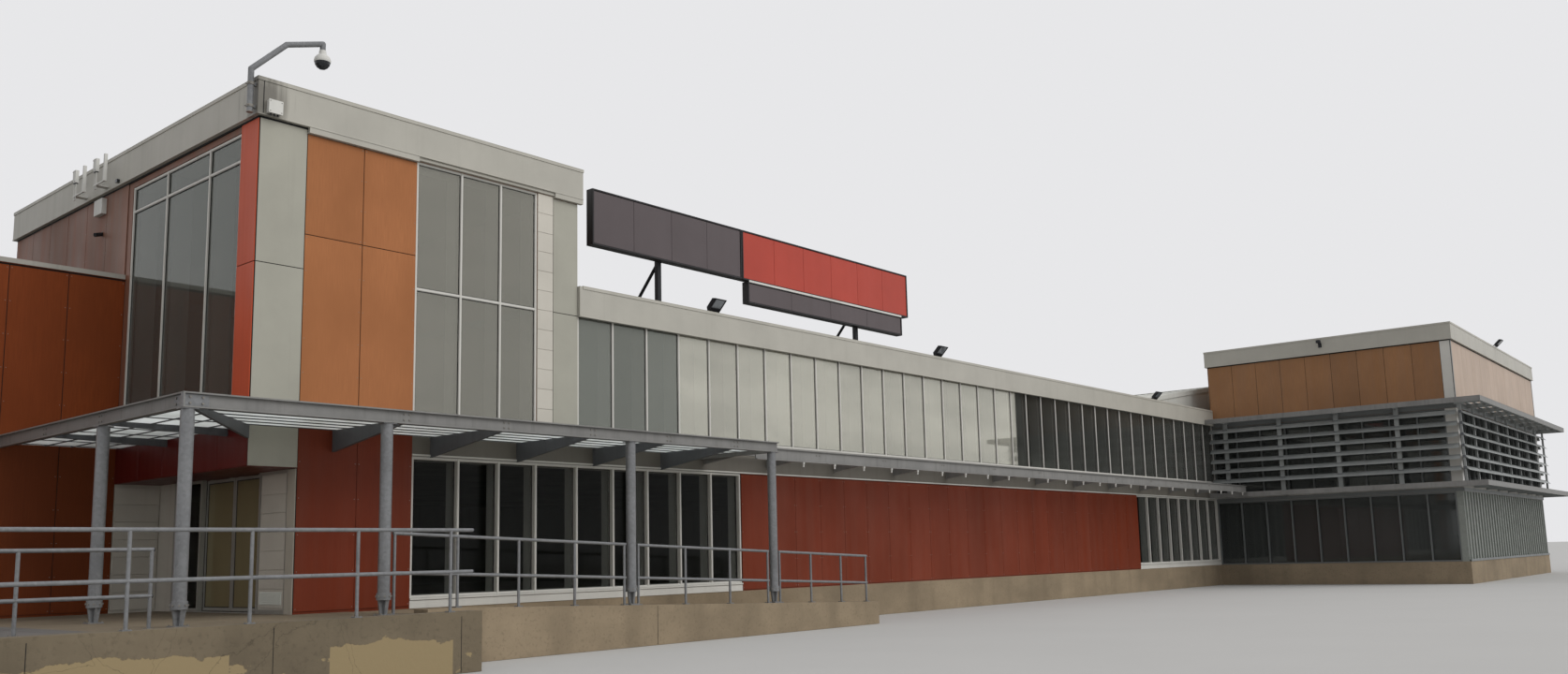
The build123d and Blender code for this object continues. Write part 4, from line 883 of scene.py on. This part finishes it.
def canopy_details():
    """Deck bars, bolts and plates of the entrance canopy, and the stubs of the thin canopy."""
    bars = bmesh.new()
    bar = 0.014
    hip = CANOPY[0] / CANOPY_Y
    for y in spread(-1.78, -0.14, 5):
        block(bars, (y * hip, CANOPY[1] - 0.1), around(y, 0.016), (DECK_Z - bar, DECK_Z))
    for x in (-1.53, -1.12, -0.72, -0.3):
        block(bars, around(x, 0.016), (x / hip, LOW_WING_Y - 0.03), (DECK_Z - bar, DECK_Z))
    for y in spread(-0.25, LOW_WING_Y - 0.35, 6):
        block(bars, (CANOPY[0] + 0.1, -0.02), around(y, 0.012), (DECK_Z - 0.026, DECK_Z - bar))
    piece("canopy_deck_bars", "rafter_steel", bars, 0.001)
    plates, bolts = bmesh.new(), bmesh.new()
    web, plate_z = 0.055, (2.755, 2.905)
    front_web = Face("x", CANOPY_Y + web, -1)
    side_web = Face("y", CANOPY[0] + web, -1)
    thin_web = Face("x", -1.46, -1)
    corner_end = Face("y", CANOPY[0], -1)
    front_web.box(plates, (CANOPY[0] + 0.02, CANOPY[0] + 0.34), PLATE, plate_z)
    side_web.box(plates, (CANOPY_Y + 0.08, CANOPY_Y + 0.36), PLATE, plate_z)
    corner_end.box(plates, (CANOPY_Y + 0.002, CANOPY_Y + 0.073), 0.006, (2.735, 2.925))
    for z in (2.79, 2.87):
        for x in (CANOPY[0] + 0.1, CANOPY[0] + 0.26):
            front_web.bolt(bolts, x, z, 0.016, 0.014, out=PLATE)
        for y in (CANOPY_Y + 0.16, CANOPY_Y + 0.3):
            side_web.bolt(bolts, y, z, 0.016, 0.014, out=PLATE)
        for x in RAFTER_X:
            for side in around(x, 0.045):
                front_web.bolt(bolts, side, z)
        for y in (0.65, 2.75):
            for side in around(y, 0.045):
                side_web.bolt(bolts, side, z)
    for x in BRACKET_X:
        for side in around(x, 0.05):
            thin_web.bolt(bolts, side, 2.8)
    for x, y, ground in COLUMNS:
        block(plates, around(x, 0.105), around(y, 0.09), (2.716, 2.729))
        foot = ground + 0.02
        for i in range(8):
            turn = math.radians(22.5 + 45 * i)
            out = Vector((math.cos(turn), math.sin(turn), 0.0))
            centre = Vector((x, y, foot + 0.25))
            rod(bolts, centre + out * 0.098, centre + out * 0.112, 0.013, 6)
        foot_bolts(bolts, x, y, 0.08, (foot - 0.012, foot + 0.018), 0.011)
    piece("canopy_plates", "zinc", plates, 0.001)
    piece("canopy_bolts", "galvanised_dull", bolts)
    stubs = bmesh.new()
    for i in range(25):
        x, y = 11.1 + 1.055 * i, -1.47
        rod(stubs, (x, y, 2.64), (x, y, 2.6), 0.03, 10)
        rod(stubs, (x, y, 2.6), (x, y, 2.54), 0.02, 10)
    piece("thin_canopy_stubs", "white_plastic", stubs)


def walkway(x):
    """Height of the terrace or of the falling ramp at x."""
    start, length, fall = 2.2, 10.4, 0.35
    return -fall * max(0.0, x - start) / length


def railing_details():
    """Bolts on the foot plates of the rails, and caps on their open ends."""
    bolts, caps = bmesh.new(), bmesh.new()
    outer_y, inner_y, left, kerb = -3.42, COLUMN_Y, -5.29, 0.06
    feet = [(1.19 - 1.37 * i, outer_y, kerb) for i in range(5)] + [(left, outer_y, kerb)]
    feet += [(x, inner_y, 0.0) for x in (-2.1, -3.55, -5.0, left)]
    for x in (1.22, 2.28, 3.4, 4.52, 5.6, 5.92, 7.06, 8.22, 9.29, 9.64, 10.6, 11.58, 12.44):
        feet.append((x, inner_y, walkway(x) + (kerb if x > TERRACE_END else 0.0)))
    for x, y, ground in feet:
        foot_bolts(bolts, x, y, 0.036, (ground + 0.008, ground + 0.022), 0.007)
    piece("railing_foot_bolts", "galvanised_dull", bolts)
    for y, top, right in ((outer_y, 1.18, 1.54), (inner_y, 0.985, -2.08)):
        for x, sign in ((right, 1), (-5.32, -1)):
            for height in (top - 0.025, top - 0.585):
                start, end = (x - 0.004 * sign, y, height), (x + 0.006 * sign, y, height)
                rod(caps, start, end, 0.0265, 20)
    piece("railing_end_caps", "lamp_black", caps)


def sign_details():
    """Blank coloured faces, dark edges and rear stiffeners of the roof sign."""
    face, rear = Face("x", 0.45, -1), Face("x", 0.61, 1)
    edges = bmesh.new()
    board_z, band_z = (6.93, 8.08), (6.41, 6.91)
    for name, look, x, z, count in (
        ("sign_left_face", "sign_mauve", (7.0, 11.4), board_z, 4),
        ("sign_right_face", "sign_red", (11.42, 17.95), board_z, 6),
        ("sign_band_face", "sign_mauve", (11.6, 17.65), band_z, 4),
    ):
        bm = bmesh.new()
        for panel in pairs(spread(*inset(x, 0.04), count)):
            face.box(bm, inset(panel, 0.003), 0.014, inset(z, 0.04), random.random())
        piece(name, look, bm, 0.002)
        face.frame(edges, x, 0.03, z, 0.035)
        for u in spread(*inset(x, 0.3), count):
            rear.box(edges, around(u, 0.02), 0.02, inset(z, 0.03))
    piece("sign_edges", "sign_edge", edges, 0.002)
    bm = bmesh.new()
    face.box(bm, (11.62, 17.63), (0.03, 0.04), (6.895, 6.945))
    piece("sign_light_strip", "white_plastic", bm, 0.002)


def floodlight_details():
    """Lenses with bezels on the undersides of the floodlights, and ribs on their lower ends."""
    half = math.sqrt(0.5)
    normal, rise = Vector((0, -half, -half)), Vector((0, -half, half))
    lenses, rims = bmesh.new(), bmesh.new()
    back, lens, rim, rib = 0.038, 0.046, 0.052, 0.056

    def plate(bm, place, across, along, out):
        corners = [(across[i], along[j]) for i, j in ((0, 0), (1, 0), (1, 1), (0, 1))]
        outline = [Vector((u, 0, 0)) + rise * v for u, v in corners]
        prism(bm, outline, Vector(place) + normal * back, normal * (out - back))

    wing_lamps = [(x, -0.125, 6.045) for x in (9.95, 18.6, 32.48)]
    for place in (*wing_lamps, (45.35, -8.65, 8.335)):
        plate(lenses, place, (-0.135, 0.135), (-0.055, 0.15), lens)
        for across in ((-0.165, -0.137), (0.137, 0.165)):
            plate(rims, place, across, (-0.165, 0.168), rim)
        for along in ((-0.075, -0.057), (0.152, 0.168)):
            plate(rims, place, (-0.137, 0.137), along, rim)
        for i in range(6):
            plate(rims, place, around(-0.115 + 0.046 * i, 0.006), (-0.16, -0.082), rib)
    piece("floodlight_lenses", "lamp_face", lenses)
    piece("floodlight_rims", "lamp_black", rims)


def mast_details():
    """The dome camera and the clamps of the mast, the lid of the junction box and a wall camera."""
    white, dark, metal = bmesh.new(), bmesh.new(), bmesh.new()
    dome = (0.99, 0.01, 8.75)
    radii = (0.127, 0.131, 0.122, 0.092, 0.06, 0.052)
    lathe(white, dome, list(zip(radii, (-0.012, 0.02, 0.06, 0.098, 0.125, 0.19))))
    radii = (0.004, 0.048, 0.085, 0.112, 0.124)
    lathe(dark, dome, list(zip(radii, (-0.127, -0.117, -0.092, -0.055, -0.012))))
    mast_x, mast_y = -0.16, 0.01
    for height in (7.698, 8.052):
        lathe(metal, (mast_x, mast_y, height), ((0.054, -0.022), (0.054, 0.022)))
        for side in (-0.035, 0.055):
            rod(metal, (mast_x - 0.03, side, height), (mast_x - 0.062, side, height), 0.009, 6)
    lathe(metal, (mast_x, mast_y, 7.6), ((0.05, -0.004), (0.05, 0.012)))
    box_face = Face("x", -0.16, -1)
    box_face.box(white, (0.052, 0.278), PLATE, (7.612, 7.828))
    for x in (0.075, 0.255):
        for z in (7.64, 7.8):
            box_face.bolt(metal, x, z, 0.008, 0.004, 10, PLATE)
    for x in (0.11, 0.165, 0.22):
        rod(dark, (x, -0.12, 7.622), (x, -0.12, 7.585), 0.014, 10)
    rod(dark, (-0.02, 5.9, 6.85), (-0.16, 5.85, 6.8), 0.038, 14)
    rod(metal, (0.0, 5.9, 6.9), (-0.05, 5.89, 6.85), 0.016, 10)
    block(dark, (-0.13, -0.08), (5.05, 5.13), (7.63, 7.69))
    for y in (5.62, 6.58):
        for z in (7.93, 8.12):
            for side in around(y, 0.045):
                rod(metal, (-0.315, side, z), (-0.322, side, z), 0.008, 8)
        block(dark, (-0.3, -0.255), around(y, 0.055), (7.895, 7.91))
    piece("camera_dome_cap", "white_plastic", white, 0.0012)
    piece("camera_dome_lens", "dome_black", dark)
    piece("mast_clamps", "galvanised_dull", metal)


def entrance_details():
    """Boards and a grille on the near side light, the sensor, and gaskets round the sliding panes."""
    side_light = Face("y", 0.79, -1)
    boards, grille, black, strip = (bmesh.new() for _ in range(4))
    side_light.boards(boards, (0.315, 1.105), PLATE, (0.09, 2.13), 7, 0.004)
    piece("side_light_boards", "white_panel", boards, 0.0012)
    side_light.box(grille, (0.36, 1.06), (PLATE, 0.016), (0.14, 0.34))
    for z in spread(0.16, 0.32, 6):
        side_light.box(grille, (0.38, 1.04), (0.016, 0.026), around(z, 0.006))
    piece("side_light_grille", "fin_grey", grille, 0.001)
    recess_side.box(black, (2.05, 2.29), 0.05, (2.27, 2.33))
    piece("entrance_black_parts", "rubber_black", black, 0.001)
    recess_side.box(strip, (0.25, 4.2), PLATE, (2.205, 2.235))
    piece("header_strip", "door_grey", strip, 0.001)
    pane = Face("y", 0.872, -1)
    for body, leaf in (("near_leaf", (1.17, 2.164)), ("far_leaf", (2.176, 3.17))):
        bm = bmesh.new()
        pane.frame(bm, inset(leaf, 0.05), 0.006, (0.082, 2.138), 0.016)
        piece(body + "_gaskets", "rubber_black", bm, body=body)


def pavilion_details():
    """Panels and trims on the pavilion, with a grey band and a black line of painted shade, the brackets
    of its louvres and a lamp.
    """
    low, top = 5.48, FASCIA_Z[0] - 0.03
    side, wide = (PAVILION_Y, 0.0), (WING[1], RIGHT_X)
    faces = ((pavilion_front, wide), (pavilion_left, side), (hall_right, side))
    side_y = [-8.13 + MODULE * i for i in range(10)]
    for name, face in (("left", pavilion_left), ("right", hall_right)):
        panels, corner = "pavilion_%s_panels" % name, "pavilion_%s_corner" % name
        cladding(panels, "wood_tan", "tan_panel", face, side_y, [low, top], RIVET_STEP)
        cladding(corner, "window_white", "grey_panel", face, [PAVILION_Y, side_y[0]], [low, top])
    back = spread(*wide, 17), [WING_TOP, top]
    cladding("pavilion_back_panels", "wood_tan", "tan_panel", pavilion_back, *back, RIVET_STEP)
    peach = spread(*inset(wide, 0.12), 10), [low, top]
    cladding("pavilion_front_panels", "peach_panel", "tan_panel", pavilion_front, *peach)
    trims, dark = bmesh.new(), bmesh.new()
    for x in ends(wide, 0.1):
        pavilion_front.box(trims, x, 0.022, (low, top))
    # The grey band under the lower sunshade is painted shade, the band under the upper one is the grey
    # lintel, and the black strip under the fascia is painted shade
    for face, along in faces:
        face.box(trims, along, 0.015, (2.36, 2.48))
        face.box(trims, along, 0.012, (5.205, 5.45))
        face.box(dark, along, 0.02, (top, FASCIA_Z[0]))
    pavilion_front.box(trims, wide, 0.02, (0.0, 0.08))
    piece("pavilion_trims", "window_grey", trims, 0.0015)
    piece("pavilion_painted_shade_line", "rubber_black", dark)
    brackets = bmesh.new()
    blade_z = [5.03 - 0.38 * i for i in range(6)]
    screens, screen_y = inset(wide, -0.32), PAVILION_Y - 0.2
    for x in spread(*inset(screens, 0.035), 8):
        for z in blade_z:
            y = (screen_y - 0.012, screen_y + 0.09)
            block(brackets, around(x, 0.05), y, around(z, 0.045))
    for x, inward in zip(screens, (1, -1)):
        edge = sorted((x - 0.012 * inward, x + 0.09 * inward))
        for y in (-0.62, -2.62, -4.62, -6.62):
            for z in blade_z:
                block(brackets, edge, around(y, 0.09), around(z, 0.045))
    piece("louvre_brackets", "rafter_steel", brackets, 0.003)
    lamp = bmesh.new()
    fascia, lamp_y = Face("y", WING[1] - OVERHANG, -1), -4.24
    for reach, depth, z in (
        (0.06, (0.0, 0.02), (7.82, 7.98)),
        (0.02, (0.02, 0.16), (7.93, 7.96)),
        (0.07, (0.1, 0.24), (7.97, 8.07)),
    ):
        fascia.box(lamp, around(lamp_y, reach), depth, z)
    piece("pavilion_fascia_lamp", "lamp_black", lamp, 0.003)
    lips = bmesh.new()
    x, tip, lip = inset(wide, -0.9), PAVILION_Y - 0.9, 0.015
    for shade_top in (5.46, 2.66):
        tall = (shade_top - 0.17, shade_top + 0.01)
        block(lips, x, (tip - lip, tip), tall)
        block(lips, x, (tip - lip, tip + 0.07), (shade_top + 0.001, shade_top + 0.012))
        for edge in ((x[0] - lip, x[0]), (x[1], x[1] + lip)):
            block(lips, edge, (tip - lip, -0.1), tall)
    piece("sunshade_lips", "canopy_steel", lips, 0.001)


def gable_details():
    """Standing ribs, a ridge cap and verge trims on the pitched roof."""
    bm = bmesh.new()
    left, ridge, right = 32.4, 40.5, 48.6
    eaves_z, ridge_z, rise = 5.9, 7.15, 1.25
    rib = [(0, -0.028, 0), (0, 0.028, 0), (0, 0.016, 0.035), (0, -0.016, 0.035)]
    slopes = (
        ((left, 0, eaves_z), (ridge - left, 0, rise)),
        ((ridge, 0, ridge_z), (right - ridge, 0, -rise)),
    )
    for i in range(71):
        for start, run in slopes:
            prism(bm, rib, (start[0], 0.9 + 0.3 * i, start[2]), run)
    for start, run in slopes:
        for edge in (0.75, 22.19):
            y = (edge - 0.03, edge + 0.06)
            verge = [(0, y[0], -0.12), (0, y[1], -0.12), (0, y[1], 0.045), (0, y[0], 0.045)]
            prism(bm, verge, start, run)
    cap = [(-0.25, 0, 0.02), (0, 0, 0.06), (0.25, 0, 0.02), (0.25, 0, 0), (0, 0, 0.04), (-0.25, 0, 0)]
    prism(bm, cap, (ridge, 0.72, ridge_z), (0, 21.56, 0))
    piece("gable_ribs", "roof_pale", bm)


def ground_details():
    """Paving on the terrace, and joints in its wall and in the ramp's."""
    bm = bmesh.new()
    for x in pairs(spread(LEFT_X, TERRACE_END, 6)):
        for y in pairs(spread(-3.15, 0.0, 3)):
            block(bm, inset(x, 0.005), inset(y, 0.005), (0.0, 0.006), random.random())
    for x in pairs(spread(LEFT_X, RECESS, 5)):
        for y in pairs(spread(0.0, LOW_WING_Y, 4)):
            block(bm, inset(x, 0.005), (y[0] + 0.005, y[1] - 0.02), (0.0, 0.006), random.random())
    piece("terrace_paving", "landing", bm)
    joints, foot_z = bmesh.new(), -0.74
    terrace = [(x, TERRACE_Y, 0.0) for x in (-3.9, -1.29, 1.32)]
    for x, wall_y, top in (*terrace, (6.18, RAMP_Y, -0.09)):
        Face("x", wall_y, -1).box(joints, around(x, 0.004), 0.002, (foot_z, top))
    piece("concrete_joints", "rubber_black", joints)


def fittings():
    """Rivets and joint strips gathered from every panelled face."""
    piece("panel_rivets", "galvanised_dull", rivets)
    piece("panel_joint_strips", "rubber_black", joint_strips)


camera()
studio()
tower_panels()
lower_panels()
hall_panels()
fascia_details()
window_details()
canopy_details()
railing_details()
sign_details()
floodlight_details()
mast_details()
entrance_details()
pavilion_details()
gable_details()
ground_details()
fittings()

bpy.context.scene.view_settings.view_transform = "Standard"
